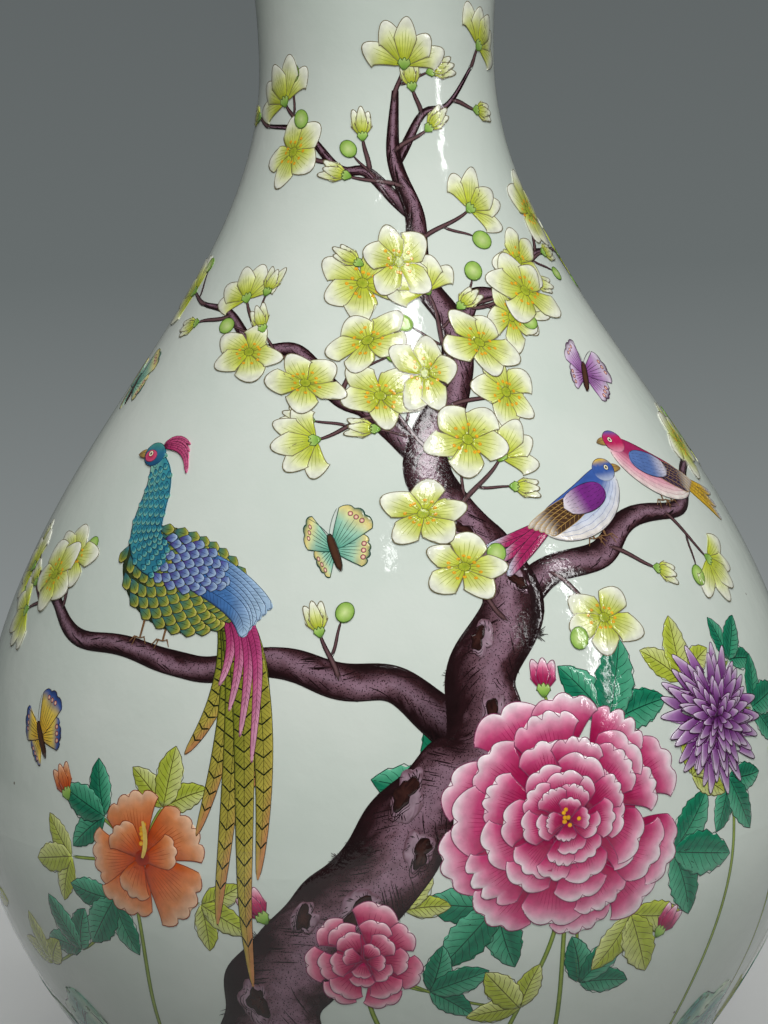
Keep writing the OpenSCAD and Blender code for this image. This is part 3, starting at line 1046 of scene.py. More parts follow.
# Half the width of a thin line and of the thinnest, in mm
FINE = 0.085
HAIR = 0.055
blossoms = Painting(1.2)


def paint_petal(sheet, place, form, colours, hairs, least=6):
    """One petal: a wash from root to rim, hatching that runs out of the root, and a thin outline."""
    wash, line, hatch = colours
    sheet.fill(place, form, lambda s, v: wash(np.clip(s - 0.12 * v**2 + 0.05 * v, 0, 1)), least)
    for v in np.linspace(-0.6, 0.6, hairs):
        s = np.linspace(0.12, 0.8 - 0.3 * abs(v), 8)
        sheet.stroke(place, form(s, np.full(8, v)), HAIR, hatch, 0.95)
    sheet.outline(place, form, FINE, line)
    sheet.next()


def dot(sheet, place, x, y, wide, colours, line=None):
    """A round dab of enamel, with a line round it if one is given."""
    form = oval(wide, wide, x, y)
    sheet.fill(place, form, lambda s, v: colours(s), 6, colours)
    if line is not None:
        sheet.rim(place, form, HAIR, line)


def cup(sheet, place, wide):
    """The green cup that holds a flower's petals."""
    seat = place.inner(0, -wide * 0.35)
    form = petal(wide * 0.8, wide, 0.8, 0.2, 3, 0.35)
    sheet.mark(seat, form, lambda s, v: CUP(s), 10, FINE, CUP_LINE, CUP)


print("Petals, dabs and cups")


# %% Open blossom
def blossom(place, rng):
    """An open blossom from the front, turned a little to one side."""
    place = place.inner(0, 0, rng.uniform(0, 180), (1, rng.uniform(0.68, 1)))
    start = rng.uniform(0, 72)
    for k in range(5):
        spans = (8.2, 10), (7.8, 9.8), (0.72, 0.9), (0.2, 0.4)
        long, wide, blunt, bow = (rng.uniform(*span) for span in spans)
        form = petal(long, wide, blunt, bow, 1, 0.13, rng.uniform(-0.14, 0.14))
        seat = place.inner(0, 0, start + 72 * k + rng.normal(0, 5))
        paint_petal(blossoms, seat, form, BLOSSOM, 5)
    dot(blossoms, place, 0, 0, 2.4, HEART, CUP_LINE)
    blossoms.next()
    for k in range(12):
        a, reach = k * math.tau / 12 + rng.normal(0, 0.1), rng.uniform(2.2, 3.7)
        tip = np.array([math.sin(a), math.cos(a)]) * reach
        blossoms.stroke(place, [tip * 0.25, tip * 0.6, tip], HAIR, THREAD, 0.3)
        dot(blossoms, place, *tip, 0.8, POLLEN)


def half_blossom(place, rng):
    """A blossom from the side, in its cup."""
    for tilt in (-62, 62, -30, 32, 0):
        form = petal(rng.uniform(8.0, 10), rng.uniform(6, 7.6), 0.78, 0.3, 1, 0.16, -tilt / 400)
        seat = place.inner(0, 0, tilt + rng.normal(0, 5))
        paint_petal(blossoms, seat, form, BLOSSOM, 5)
    cup(blossoms, place, 3.4)


print("Blossom from the front and from the side")


# %% Buds
def bud(place, rng):
    """A folded bud in its cup."""
    for tilt in (-16, 16, 0):
        form = petal(rng.uniform(5.4, 6.6), 4.4, 0.55, 0.3, 1, 0.3)
        paint_petal(blossoms, place.inner(0, 0, tilt), form, BLOSSOM, 3)
    cup(blossoms, place, 2.8)


def bead(place, rng):
    """A bud that is still a green bead."""
    wide = rng.uniform(3.0, 4.2)
    form = oval(wide, wide * 1.15, 0, wide * 0.45)
    blossoms.mark(place, form, lambda s, v: BEAD(s), 8, FINE, CUP_LINE, BEAD)


FLOWERING = {"B": blossom, "H": half_blossom, "b": bud, "g": bead}
print("Ways to draw a flower of the tree:", len(FLOWERING))

# %% Twigs
TWIG = ramp({0: "#2c1719", 0.5: "#6f5254", 1: "#2c1719"})
SPRAY_STEP = 0.045
twigs = Painting()


def twig(place, long, bend, wide):
    """A bent twig that tapers. Gives a function for the paper at a share of its length."""
    spine = [(0, 0), (-0.25 * bend * long, long * 0.35), (0.9 * bend * long, long * 0.6), (bend * long, long)]
    at = curve(spine)
    twigs.start("twig")
    twigs.mark(place, blade(spine, wide, 0.04, 0.3), lambda s, v: TWIG((v + 1) / 2), 3, HAIR, BARK_LINE)

    def paper(share):
        x, y = at(np.array(share))
        dx, dy = at(np.array(share + 0.02)) - at(np.array(share - 0.02))
        return place.inner(x, y, math.degrees(math.atan2(-dx, dy)))

    return paper


def spray(limb, share, out, long, kinds, rng):
    """A twig off a limb with a flower at its tip and others on short stalks along it."""
    place = limb.spot(share, 0, out)
    paper = twig(place, long, rng.uniform(0.1, 0.3) * rng.choice([-1, 1]), 1.0)
    for k, kind in enumerate(kinds):
        blossoms.start("spray", SPRAY_STEP * rng.integers(0, 3))
        if k == 0:
            FLOWERING[kind](paper(1.0), rng)
        else:
            side = (-1) ** k
            stalk = twig(paper(0.72 - 0.22 * k).inner(0, 0, 52 * side), 7.5, 0.15 * side, 0.6)
            FLOWERING[kind](stalk(1.0), rng)


print("Twigs and their flowers")

# %% Sprays along the limbs
# Each row of a limb: the share along it, degrees off its line, length in mm, and flowers from the tip back
SPRAYS = [
    (TRUNK, [
        (0.53, 70, 13, "Bg"), (0.62, -58, 16, "Hbg"), (0.68, 62, 15, "Bgb"), (0.72, -40, 13, "B"),
        (0.76, 40, 17, "Hbg"), (0.80, -66, 18, "bBg"), (0.84, 66, 12, "Bb"), (0.87, -40, 15, "Hg"),
        (0.92, 50, 12, "bg"), (0.95, -48, 9, "b"), (0.99, 4, 8, "Hb")]),
    (PERCH, [(0.22, -62, 10, "bg"), (0.84, -50, 12, "Bg"), (0.90, 55, 12, "Hb"), (0.99, 4, 9, "Hbg")]),
    (RIGHT, [
        (0.16, -60, 14, "Bg"), (0.34, -52, 12, "b"), (0.58, -48, 14, "Hg"), (0.88, 52, 10, "bg"),
        (0.99, -6, 10, "Hbg")]),
    (LEFT_TOP, [
        (0.22, 52, 13, "Hb"), (0.34, -62, 14, "Bg"), (0.52, 48, 12, "Bb"), (0.66, -50, 14, "Hbg"),
        (0.84, 52, 11, "b"), (0.99, 0, 10, "Hg")]),
    (RIGHT_TOP, [
        (0.18, -58, 12, "Hg"), (0.36, 48, 12, "Bb"), (0.60, -44, 12, "bg"), (0.78, 42, 12, "B"),
        (0.99, -6, 9, "Hg")]),
    (LEFT_NECK, [(0.30, -52, 8, "b"), (0.52, 48, 9, "Bg"), (0.76, -44, 8, "Hg"), (0.99, 0, 7, "b")]),
    (RIGHT_NECK, [(0.40, 48, 6, "b"), (0.68, -44, 7, "b"), (0.99, 0, 6, "H")]),
    (BACK_TRUNK, [
        (0.52, 62, 14, "Bg"), (0.60, -60, 15, "Hb"), (0.68, 58, 15, "Bbg"), (0.76, -52, 14, "Bg"),
        (0.83, 55, 13, "Hb"), (0.90, -48, 12, "Bg"), (0.99, 0, 9, "Hb")]),
    (BACK_LEFT, [(0.38, -58, 12, "Bg"), (0.24, 55, 12, "Hb"), (0.76, -50, 12, "b"), (0.99, 0, 10, "Bbg")]),
    (BACK_RIGHT, [(0.36, 56, 12, "bg"), (0.80, -52, 12, "Hg"), (0.99, 0, 10, "Hbg")]),
    (BACK_TOP, [(0.30, -55, 12, "Hg"), (0.52, 50, 12, "Bb"), (0.74, -48, 12, "Bg"), (0.99, 0, 9, "Hb")]),
]
rng = np.random.default_rng(7)
for limb, rows in SPRAYS:
    for row in rows:
        spray(limb, *row, rng)
# Open blossoms that sit on the limbs: the limb, the share along it and millimetres to one side
SEATED = [
    (TRUNK, 0.635, -5), (TRUNK, 0.70, 6), (TRUNK, 0.745, -6), (TRUNK, 0.78, 5), (TRUNK, 0.855, -4),
    (LEFT_TOP, 0.44, -3), (RIGHT, 0.93, -3), (PERCH, 0.93, 3), (RIGHT_TOP, 0.48, 3), (BACK_TRUNK, 0.64, 4),
    (BACK_TRUNK, 0.73, -4), (BACK_TRUNK, 0.8, 4), (BACK_LEFT, 0.85, 3), (BACK_RIGHT, 0.9, -3),
    (BACK_TOP, 0.6, 3),
]
for limb, share, across in SEATED:
    blossoms.start("top blossom")
    blossom(limb.spot(share, across), rng)
print("Sprays on", len(SPRAYS), "limbs with", len(blossoms.points), "marks of blossom")

# %% [markdown]
# ## Flowers and leaves
# Garden flowers fill the space below the branches. A double flower is rings of lobed petals, painted from the
# outermost to the heart, so that each ring covers the roots of the last. Rose enamel made with gold gives the
# pinks, and white enamel at the rims keeps them pale.

# %% Leaves
EMERALD = (ramp({0: "#0f5f4a", 1: "#1c8560"}), ramp({0: "#1b8a62", 1: "#62b592"}), linear("#0f3a2f"))
LIME = (ramp({0: "#9fae2c", 1: "#bcc84c"}), ramp({0: "#b9c64a", 1: "#dbe09a"}), linear("#5e5a22"))
STEM = ramp({0: "#4c6b22", 0.5: "#9fb24e", 1: "#5c7426"})
LEAF_STEP = 0.019
LEAF_TEETH = 6
leaves = Painting()


def leaf(place, long, wide, tones, bend):
    """A toothed leaf in two tones, with its veins."""
    dark, light, vein = tones
    spine = [(0, 0), (bend * long * 0.05, long * 0.5), (bend * long, long)]
    form = blade(spine, wide, 0.75, 0.85, LEAF_TEETH)

    def wash(s, v):
        t = np.clip(0.75 * np.abs(v) + 0.3 * s, 0, 1)
        return np.where((v < 0)[..., None], dark(t), light(t))

    leaves.fill(place, form, wash, 9)
    rib = np.linspace(0, 0.97, 12)
    leaves.stroke(place, form(rib, np.zeros(12)), 0.11, vein, 0.5)
    t = np.linspace(0, 1, 6)
    for start in np.linspace(0.08, 0.74, 7):
        for side in (-0.86, 0.86):
            leaves.stroke(place, form(start + 0.17 * t, side * t), HAIR, vein, 0.6)
    leaves.outline(place, form, FINE, vein)
    leaves.next()


def leaf_group(place, long, tones):
    """Three leaves from one point, the middle one longest."""
    for side in (-1, 1, 0):
        size = long * (1 - 0.14 * abs(side))
        leaf(place.inner(0, 0, -48 * side), size, size * 0.52, tones, 0.16 * side)


def stem(place, spine, half=0.45):
    """A green stem along a curve."""
    leaves.start("stem")
    leaves.mark(place, blade(spine, 2 * half, 0.03, 0.05), lambda s, v: STEM((v + 1) / 2), 3, HAIR, CUP_LINE)


print("Leaves: emerald and lime")

# %% Rings of petals
flowers = Painting(1.1)


def rings_of_petals(place, rng, rings, form_of, colours, hairs, least):
    """Rings of petals that point outwards: how many, how far out their roots lie, their length and width."""
    for count, root, long, wide in rings:
        start = rng.uniform(0, 360)
        for k in range(count):
            tilt = start + 360 * k / count + rng.normal(0, 4)
            a, size = math.radians(tilt), rng.uniform(0.9, 1.12)
            seat = place.inner(-root * math.sin(a), root * math.cos(a), tilt + rng.normal(0, 7), size)
            paint_petal(flowers, seat, form_of(rng, long, wide), colours, hairs, least)


print("Petals in rings")

# %% Camellia and chrysanthemum
# The colours of their petals: the wash from root to rim, the outline and the hatching
PINK = (ramp({0: "#86103f", 0.4: "#a8184f", 0.66: "#cb4a7c", 0.84: "#e8a0ba", 0.95: "#f6e2e8", 1: "#f8f1f1"}),
        linear("#8a3f63"), linear("#9c184c"))
PURPLE = (ramp({0: "#43124a", 0.4: "#6f2c78", 0.75: "#a877b0", 1: "#e6d9e8"}),
          linear("#43193f"), linear("#5e2560"))


def camellia(place, seed):
    """A large double flower with lobed, pale-rimmed petals, about 52 mm across."""
    rng = np.random.default_rng(seed)
    dot(flowers, place, 0, 0, 30, lambda s: PINK[0](0.4 * s))

    def lobed(r, *size):
        return petal(*size, 0.96, 0.22, int(r.integers(2, 5)), 0.12, r.uniform(-0.16, 0.16))

    rings = ((10, 12.5, 13.5, 15), (9, 9, 13, 14), (9, 6.5, 11, 12), (8, 4.2, 9, 10), (7, 2.4, 7.4, 8),
             (5, 1.0, 6, 6.4), (4, 0.2, 4.2, 4.6))
    rings_of_petals(place, rng, rings, lobed, PINK, 9, 16)
    for _ in range(9):
        dot(flowers, place, *rng.normal(0, 1.0, 2), 0.9, POLLEN)
        flowers.next()


def chrysanthemum(place, seed):
    """A purple flower of many narrow petals, about 30 mm across."""
    rng = np.random.default_rng(seed)
    rings = ((20, 6, 9.2, 3.6), (19, 4.6, 8.6, 3.4), (17, 3.4, 7.8, 3.2), (14, 2.4, 6.6, 3.0),
             (11, 1.6, 5.4, 2.8), (8, 0.8, 4.2, 2.6), (6, 0.2, 3.0, 2.2))
    rings_of_petals(place, rng, rings,
                    lambda r, *size: petal(*size, 0.8, 0.5, 1, 0.2, r.uniform(-0.15, 0.15)), PURPLE, 1, 5)


print("Large flowers: camellia and chrysanthemum")

# %% Hibiscus, rose and buds
CORAL = (ramp({0: "#a8300f", 0.35: "#cf5a22", 0.75: "#e08f5a", 1: "#f0c9a8"}),
         linear("#8a3414"), linear("#b0481c"))
CORAL_HEART = ramp({0: "#7a1f10", 1: "#a8300f"})
COLUMN = linear("#e8c765")
ROSE = (ramp({0: "#86103f", 0.45: "#b8265a", 0.8: "#df7f9a", 0.94: "#f2c6d0", 1: "#f6dfe3"}), *PINK[1:])
BUD_SIZE = 0.8


def hibiscus(place, seed):
    """A coral flower of five broad petals with a column of stamens, about 28 mm across."""
    rng = np.random.default_rng(seed)
    rings_of_petals(place, rng, [(5, 0.8, 13, 14)], lambda r, *size: petal(*size, 0.97, 0.18, 4, 0.08, 0.1),
                    CORAL, 9, 20)
    rings_of_petals(place, rng, [(3, 0.2, 8.5, 8)], lambda r, *size: petal(*size, 0.95, 0.2, 3, 0.1, -0.1),
                    CORAL, 5, 14)
    dot(flowers, place, 0, 0, 3.4, CORAL_HEART)
    flowers.next()
    column = curve([(0, 0), (2.5, 2.5), (2.5, 7)])
    flowers.stroke(place, column(np.linspace(0, 1, 10)), 0.5, COLUMN, 0.5)
    for share in (0.5, 0.62, 0.72, 0.8, 0.88, 0.94, 1.0):
        dot(flowers, place, *(column(np.array(share)) + rng.normal(0, 0.7, 2)), 1.0, POLLEN)


def garden_rose(place, seed):
    """A small double rose, about 22 mm across."""
    rng = np.random.default_rng(seed)
    dot(flowers, place, 0, 0, 11, lambda s: ROSE[0](0.4 * s))
    rings = ((7, 4.2, 7.4, 8.5), (6, 2.8, 6.2, 7), (5, 1.4, 5, 5.6), (4, 0.4, 3.6, 4))
    rings_of_petals(place, rng, rings, lambda r, *size: petal(*size, 0.95, 0.25, 2, 0.12), ROSE, 5, 12)


def flower_bud(place, colours):
    """A closed bud of a garden flower in a green cup, about 6 mm long."""
    wash, line, _ = colours
    for tilt in (-20, 20, 0):
        form = petal(8 * BUD_SIZE, 6 * BUD_SIZE, 0.6, 0.3, 1, 0.3)
        paint_petal(flowers, place.inner(0, 0, tilt), form, (wash, line, line), 3)
    cup(flowers, place, 4.5 * BUD_SIZE)


print("Smaller flowers: hibiscus and rose, with buds")

# %% Plan the beds
# Each row of LEAF_GROUPS: azimuth, height, the way they point, their length and their tones
LEAF_GROUPS = [
    (8, 101, 78, 17, EMERALD), (36, 86, -100, 17, EMERALD), (28, 112, -20, 17, EMERALD),
    (12, 80, 140, 16, EMERALD), (12, 112, 30, 12, LIME), (30, 75, -155, 15, LIME), (41, 118, -5, 13, LIME),
    (40, 100, -60, 12, LIME), (55, 110, -80, 13, EMERALD), (47, 98, -150, 13, EMERALD),
    (52, 120, -40, 11, EMERALD), (-38, 95, 70, 13, EMERALD), (-29, 98, -10, 12, LIME),
    (-37, 79, 140, 14, EMERALD), (-24, 80, -120, 11, LIME), (24, 62, -40, 13, EMERALD),
    (4, 63, -70, 12, EMERALD), (1, 80, -30, 10, LIME), (-12, 62, 80, 12, EMERALD), (-44, 86, 100, 12, LIME),
    (16, 58, 40, 12, LIME), (-46, 66, 30, 13, EMERALD), (-56, 60, 10, 12, LIME), (60, 78, -50, 13, EMERALD),
    (66, 66, -20, 13, LIME), (72, 92, -60, 12, EMERALD), (132, 84, 90, 17, EMERALD),
    (159, 96, -60, 16, EMERALD), (150, 72, -160, 15, EMERALD), (138, 104, 10, 14, LIME),
    (105, 92, 60, 13, EMERALD), (119, 86, -70, 12, LIME), (112, 68, 170, 12, EMERALD), (96, 70, 40, 12, LIME),
    (222, 94, 40, 13, EMERALD), (237, 88, -80, 13, LIME), (229, 70, 175, 13, EMERALD),
    (243, 66, -40, 12, EMERALD), (264, 92, 60, 14, EMERALD), (281, 96, -60, 13, LIME),
    (272, 72, 165, 13, EMERALD), (288, 70, -30, 12, LIME), (166, 52, 60, 12, LIME),
    (180, 56, -60, 12, EMERALD),
]
# Each row of STEMS: azimuth and height of the foot, then how far the stem leans and rises in mm
STEMS = [
    (14, 40, 9, 46), (22, 42, -2, 40), (45, 40, 4, 62), (-36, 40, 4, 42), (-1, 44, -4, 22), (60, 42, -3, 62),
    (146, 38, 0, 42), (110, 38, 4, 38), (228, 36, 2, 42), (272, 38, 2, 42), (172, 34, 1, 20), (66, 40, 6, 50),
]
# Each row of FLOWERS: the flower, its azimuth, height and tilt, and its size
FLOWERS = [
    (camellia, 21, 95, 8, (1, 0.92)), (chrysanthemum, 46, 110, -10, (1, 0.95)),
    (hibiscus, -32, 88, 20, (1, 0.94)), (garden_rose, -4, 70, 0, 1), (camellia, 146, 86, -12, (0.86, 0.8)),
    (hibiscus, 111, 80, -25, (0.95, 0.9)), (chrysanthemum, 229, 82, 15, (0.95, 0.9)),
    (garden_rose, 172, 60, 10, 1), (camellia, 273, 84, 20, (0.62, 0.58)), (garden_rose, 68, 86, -15, 0.95),
]
# Each row of BUDS: azimuth, height, tilt and their colours
BUDS = [
    (19.5, 119, -6, PINK), (35, 70, -35, PINK), (-45, 98, 30, CORAL), (58, 100, -50, PURPLE),
    (-16, 78, 35, ROSE), (163, 104, -30, PINK), (100, 88, 30, CORAL), (240, 96, -25, PURPLE),
    (284, 84, -40, PINK),
]
print("Planned:", len(FLOWERS), "flowers,", len(BUDS), "buds,", len(LEAF_GROUPS), "groups of leaves")


# %% Plant the beds
def stalk(azimuth, height):
    """A thin bent stalk from a leaf or bud to the flower nearest to it."""
    around = np.interp(height * MM, out_z, out_r) / MM
    ways = [(math.radians(row[1] - azimuth) * around, row[2] - height) for row in FLOWERS]
    dx, dy = min(ways, key=lambda way: math.hypot(*way))
    stem(on_vase(azimuth, height), [(0, 0), (0.4 * dx, 0.15 * dy), (0.75 * dx, 0.55 * dy), (dx, dy)], 0.3)


for azimuth, height, lean, rise in STEMS:
    spine = [(0, 0), (-0.3 * lean, rise * 0.4), (1.2 * lean, rise * 0.7), (lean, rise)]
    stem(on_vase(azimuth, height), spine)
for k, (azimuth, height, tilt, long, tones) in enumerate(LEAF_GROUPS):
    stalk(azimuth, height)
    leaves.start("leaf", LEAF_STEP * (k % 3))
    leaf_group(on_vase(azimuth, height, tilt), long, tones)
for seed, (flower, azimuth, height, tilt, size) in enumerate(FLOWERS, 3):
    flowers.start("flower")
    flower(on_vase(azimuth, height, tilt, size), seed)
for azimuth, height, tilt, colours in BUDS:
    stalk(azimuth, height)
    flowers.start("flower bud")
    flower_bud(on_vase(azimuth, height, tilt), colours)
print("Beds:", len(flowers.points), "petal marks,", len(leaves.points), "leaf marks")

# %% [markdown]
# ## Birds and butterflies
# A long-tailed pheasant sits on the lower branch, a pair of finches on the other side and two more behind.
# A painted bird is built up as a real one is seen: tail, body, rows of small feathers from tail to breast so
# that each row covers the roots of the last, then the wing, the neck and the head. All birds are drawn facing
# right, and flip turns some of them the other way.

# %% Feathers
birds = Painting()


def feather(place, spine, wide, wash, line, bars=0, root=0.3, tip=0.4):
    """A long feather with its shaft and barbs, and dark bars across it if asked."""
    form = blade(spine, wide, root, tip)
    long = np.hypot(*np.diff(np.array(spine, float), axis=0).T).sum()
    birds.fill(place, form, lambda s, v: wash(np.clip(s + 0.12 * v, 0, 1)), 4)
    run = np.linspace(0.02, 0.95, int(long) + 8)
    birds.stroke(place, form(run, 0 * run), HAIR, line, 0.6)
    out = np.linspace(0, 0.9, 4)
    for s in np.linspace(0.06, 0.86, int(0.8 * long)):
        for side in (-1, 1):
            birds.stroke(place, form(s + 0.5 * wide / long * out, side * out), 0.6 * HAIR, line, 0.5)
    for s in np.linspace(0.08, 0.9, bars):
        v = np.linspace(-0.9, 0.9, 5)
        birds.stroke(place, form(s + 0.02 * (1 - np.abs(v)), v), 0.17, line, 0.3)
    birds.outline(place, form, HAIR, line)
    birds.next()


print("Long feathers")

# %% Rows of small feathers
# How far the tip of a small feather stands over its root, in mm
SHINGLE = 0.03


def feather_rows(place, form, rows, long, wide, wash, line):
    """Small round feathers over a body in rows up to its head, each over the last like shingles."""
    scale, low = petal(long, wide, 0.85, 0.35, 1, 0.08), birds.level
    for i, s in enumerate(np.linspace(0.06, 0.98, rows)):
        across = np.linalg.norm(form(s, 1.0) - form(s, -1.0))
        count = max(1, round(across / wide * 1.15))
        for k in range(count):
            v = (2 * k + 1 + 0.5 * (-1) ** i) / count - 1
            (x, y), (dx, dy) = form(s, v), form(s + 0.02, v) - form(s - 0.02, v)
            seat = place.inner(x, y, math.degrees(math.atan2(-dx, dy)) + 180)
            seat.lift = SHINGLE / long
            birds.level = low + LAYER * (k % 2)
            birds.fill(seat, scale, lambda a, b: wash(a), 4, wash)
            birds.stroke(seat, [(0, 0.3 * long), (0, 0.6 * long), (0, 0.88 * long)], 0.8 * HAIR, line, 0.6)
            birds.outline(seat, scale, HAIR, line)
    birds.level = low + SHINGLE * MM + 2 * LAYER


def down(place, form, rows, hairs, line):
    """Fine short strokes that lie along a body."""
    for i, s in enumerate(np.linspace(0.1, 0.84, rows)):
        for v in np.linspace(-0.84, 0.84, hairs) + 0.84 / hairs * (-1) ** i:
            birds.stroke(place, form(np.linspace(s, s + 0.1, 4), np.full(4, v)), 0.6 * HAIR, line, 0.9)


print("Small feathers stand", SHINGLE, "mm over their roots")

# %% Heads and legs
BEAK = ramp({0: "#c9a24a", 1: "#7a6a4a"})
EYE = ramp({0: "#140d0d", 0.45: "#140d0d", 0.55: "#f4e9c8", 1: "#f4e9c8"})
EYE_LINE, LEG = linear("#2a1a14"), linear("#7a5a3c")


def head(place, x, y, wide, wash, line):
    """A round head with a short beak, whose rim is left open where the neck joins it."""
    for drop in (0.10, -0.06):
        beak = blade([(x + wide * 0.38, y + wide * drop * 0.6), (x + wide * 0.6, y + wide * drop),
                      (x + wide * 0.86, y - wide * 0.05)], wide * 0.2, 0.2, 0.7)
        birds.mark(place, beak, lambda s, v: BEAK(s), 3, HAIR, LEG)
    form = oval(wide, wide * 0.88, x, y)
    birds.fill(place, form, lambda s, v: wash(0.5 - 0.5 * s * np.cos(math.pi * v)), 8)
    birds.rim(place, form, HAIR, line, 0.2, 1.35)
    birds.next()


def eye(place, x, y, wide):
    """A dark eye in a pale ring."""
    dot(birds, place, x, y, wide, EYE, EYE_LINE)
    birds.next()


def legs(place, feet, long):
    """Two thin legs with toes that grip a branch."""
    for x, y in feet:
        birds.stroke(place, [(x - 1, y + long), (x - 0.3, y + long * 0.5), (x, y)], 0.28, LEG, 0.2)
        for dx, dy in ((2.6, -0.9), (1.8, -1.7), (-1.8, -1.2)):
            birds.stroke(place, [(x, y), (x + dx * 0.6, y + 0.3), (x + dx, y + dy)], 0.17, LEG, 0.5)
    birds.next()


print("Heads, eyes and legs")

# %% Colours of a pheasant
TAIL = ramp({0: "#5d6a1f", 0.4: "#8a8f2c", 0.8: "#b9a94a", 1: "#c98a5a"})
BACK = ramp({0: "#33647c", 0.5: "#4a7a58", 0.8: "#858c2e", 1: "#c9be62"})
NECK = ramp({0: "#1f5f86", 0.6: "#3d93a0", 1: "#8cc7b0"})
QUILL = ramp({0: "#2f5794", 0.5: "#4a78b0", 1: "#a9c4dc"})
PLUME = ramp({0: "#8e1c4e", 0.6: "#b8447a", 1: "#dba0b8"})
RUMP = ramp({0: "#27331f", 0.4: "#43522c", 1: "#7d8440"})
SHOULDER = ramp({0: "#5b2f78", 0.5: "#4a62a4", 1: "#a9c0d8"})
CREST = ramp({0: "#a8285e", 1: "#d96a94"})
CROWN = ramp({0: "#1f4f78", 0.6: "#2f6f8f", 1: "#4f9a8a"})
CHEEK = ramp({0: "#b51f52", 1: "#d8577c"})
DARK_LINE, PLUME_LINE, QUILL_LINE = linear("#232a14"), linear("#5e1636"), linear("#1b2f52")
SHOULDER_LINE, NECK_LINE, CHEEK_LINE = linear("#1f2647"), linear("#123244"), linear("#6a1230")
print("Its neck from root to head:", NECK(np.array([0, 1])).round(3).tolist())


# %% Pheasant
def pheasant(place):
    """A pheasant on a perch, about 34 mm from rump to breast, with its long tail hanging."""
    for drop, out in ((30, -4), (38, 8), (46, -1), (54, 10), (64, 2), (78, 6)):
        spine = [(-11, -5), (-18 - 0.4 * out, -12), (-22 - 0.8 * out, -14 - drop * 0.4),
                 (-14 - 1.2 * out, -8 - drop)]
        feather(place, spine, 4.6, TAIL, DARK_LINE, 8 + drop // 5, 0.25, 0.5)
    for k in range(4):
        spine = [(-9, -5), (-15 - 2 * k, -9), (-18 - 2 * k, -16), (-15 - 3 * k, -24 - 5 * k)]
        feather(place, spine, 2.2, PLUME, PLUME_LINE)
    legs(place, ((0, -15.5), (6, -15.2)), 8)
    body = blade([(-16, -8), (-8, -4), (4, -4), (14, 7)], 20, 0.5, 0.42)
    birds.mark(place, body, lambda s, v: RUMP((1 - v) / 2), 8, FINE, DARK_LINE)
    feather_rows(place, body, 19, 4.2, 3.1, BACK, DARK_LINE)
    for k in range(6):
        spine = [(1 - k, 3.5 - 1.3 * k), (-6 - k, 3 - 1.6 * k), (-14 - k, -1 - 1.6 * k),
                 (-23 + k, -8 - 1.2 * k)]
        feather(place, spine, 4.0, QUILL, QUILL_LINE, 0, 0.3, 0.35)
    shoulder = blade([(-11, -2.5), (-4, 0.5), (3, 1.5), (9, 4)], 11, 0.45, 0.4)
    feather_rows(place, shoulder, 11, 3.3, 2.6, SHOULDER, SHOULDER_LINE)
    neck = blade([(4, 1), (19, 5), (7, 17), (16.4, 25)], 8.6, 0.1, 0.3)
    birds.mark(place, neck, lambda s, v: NECK(np.clip(s * 0.6 + 0.25 * v + 0.2, 0, 1)), 6, FINE, NECK_LINE)
    feather_rows(place, neck, 14, 2.0, 1.7, NECK, NECK_LINE)
    for k in range(5):
        spine = [(15.4, 27.4), (13 - k, 30.6 - 0.6 * k), (10 - 0.8 * k, 30 - 1.2 * k),
                 (7.5 - 0.4 * k, 28.4 - 1.7 * k)]
        feather(place, spine, 1.2, CREST, PLUME_LINE)
    head(place, 17, 25.6, 6.4, CROWN, NECK_LINE)
    birds.mark(place, oval(3.8, 2.9, 18.0, 25.2), lambda s, v: CHEEK(s), 6, HAIR, CHEEK_LINE)
    eye(place, 18.2, 25.7, 1.4)


birds.start("bird")
pheasant(on_vase(-32, 142, 0, 0.95, -1))
print("Pheasant:", len(birds.points), "marks")

# %% Finches
FINCHES = [
    dict(back="#3d5fa8", face="#3d5fa8", breast="#c8d2e6", cap="#f0c51e", wing="#7a2e84", quill="#4a3324",
         tail="#a8285e"),
    dict(back="#a8285e", face="#c2255e", breast="#e9a0b4", cap="#3d5fa8", wing="#5a78b4", quill="#3a2a4a",
         tail="#e0b52a"),
]
FINCH_LINE, GOLD = linear("#2c2030"), linear("#c09a54")


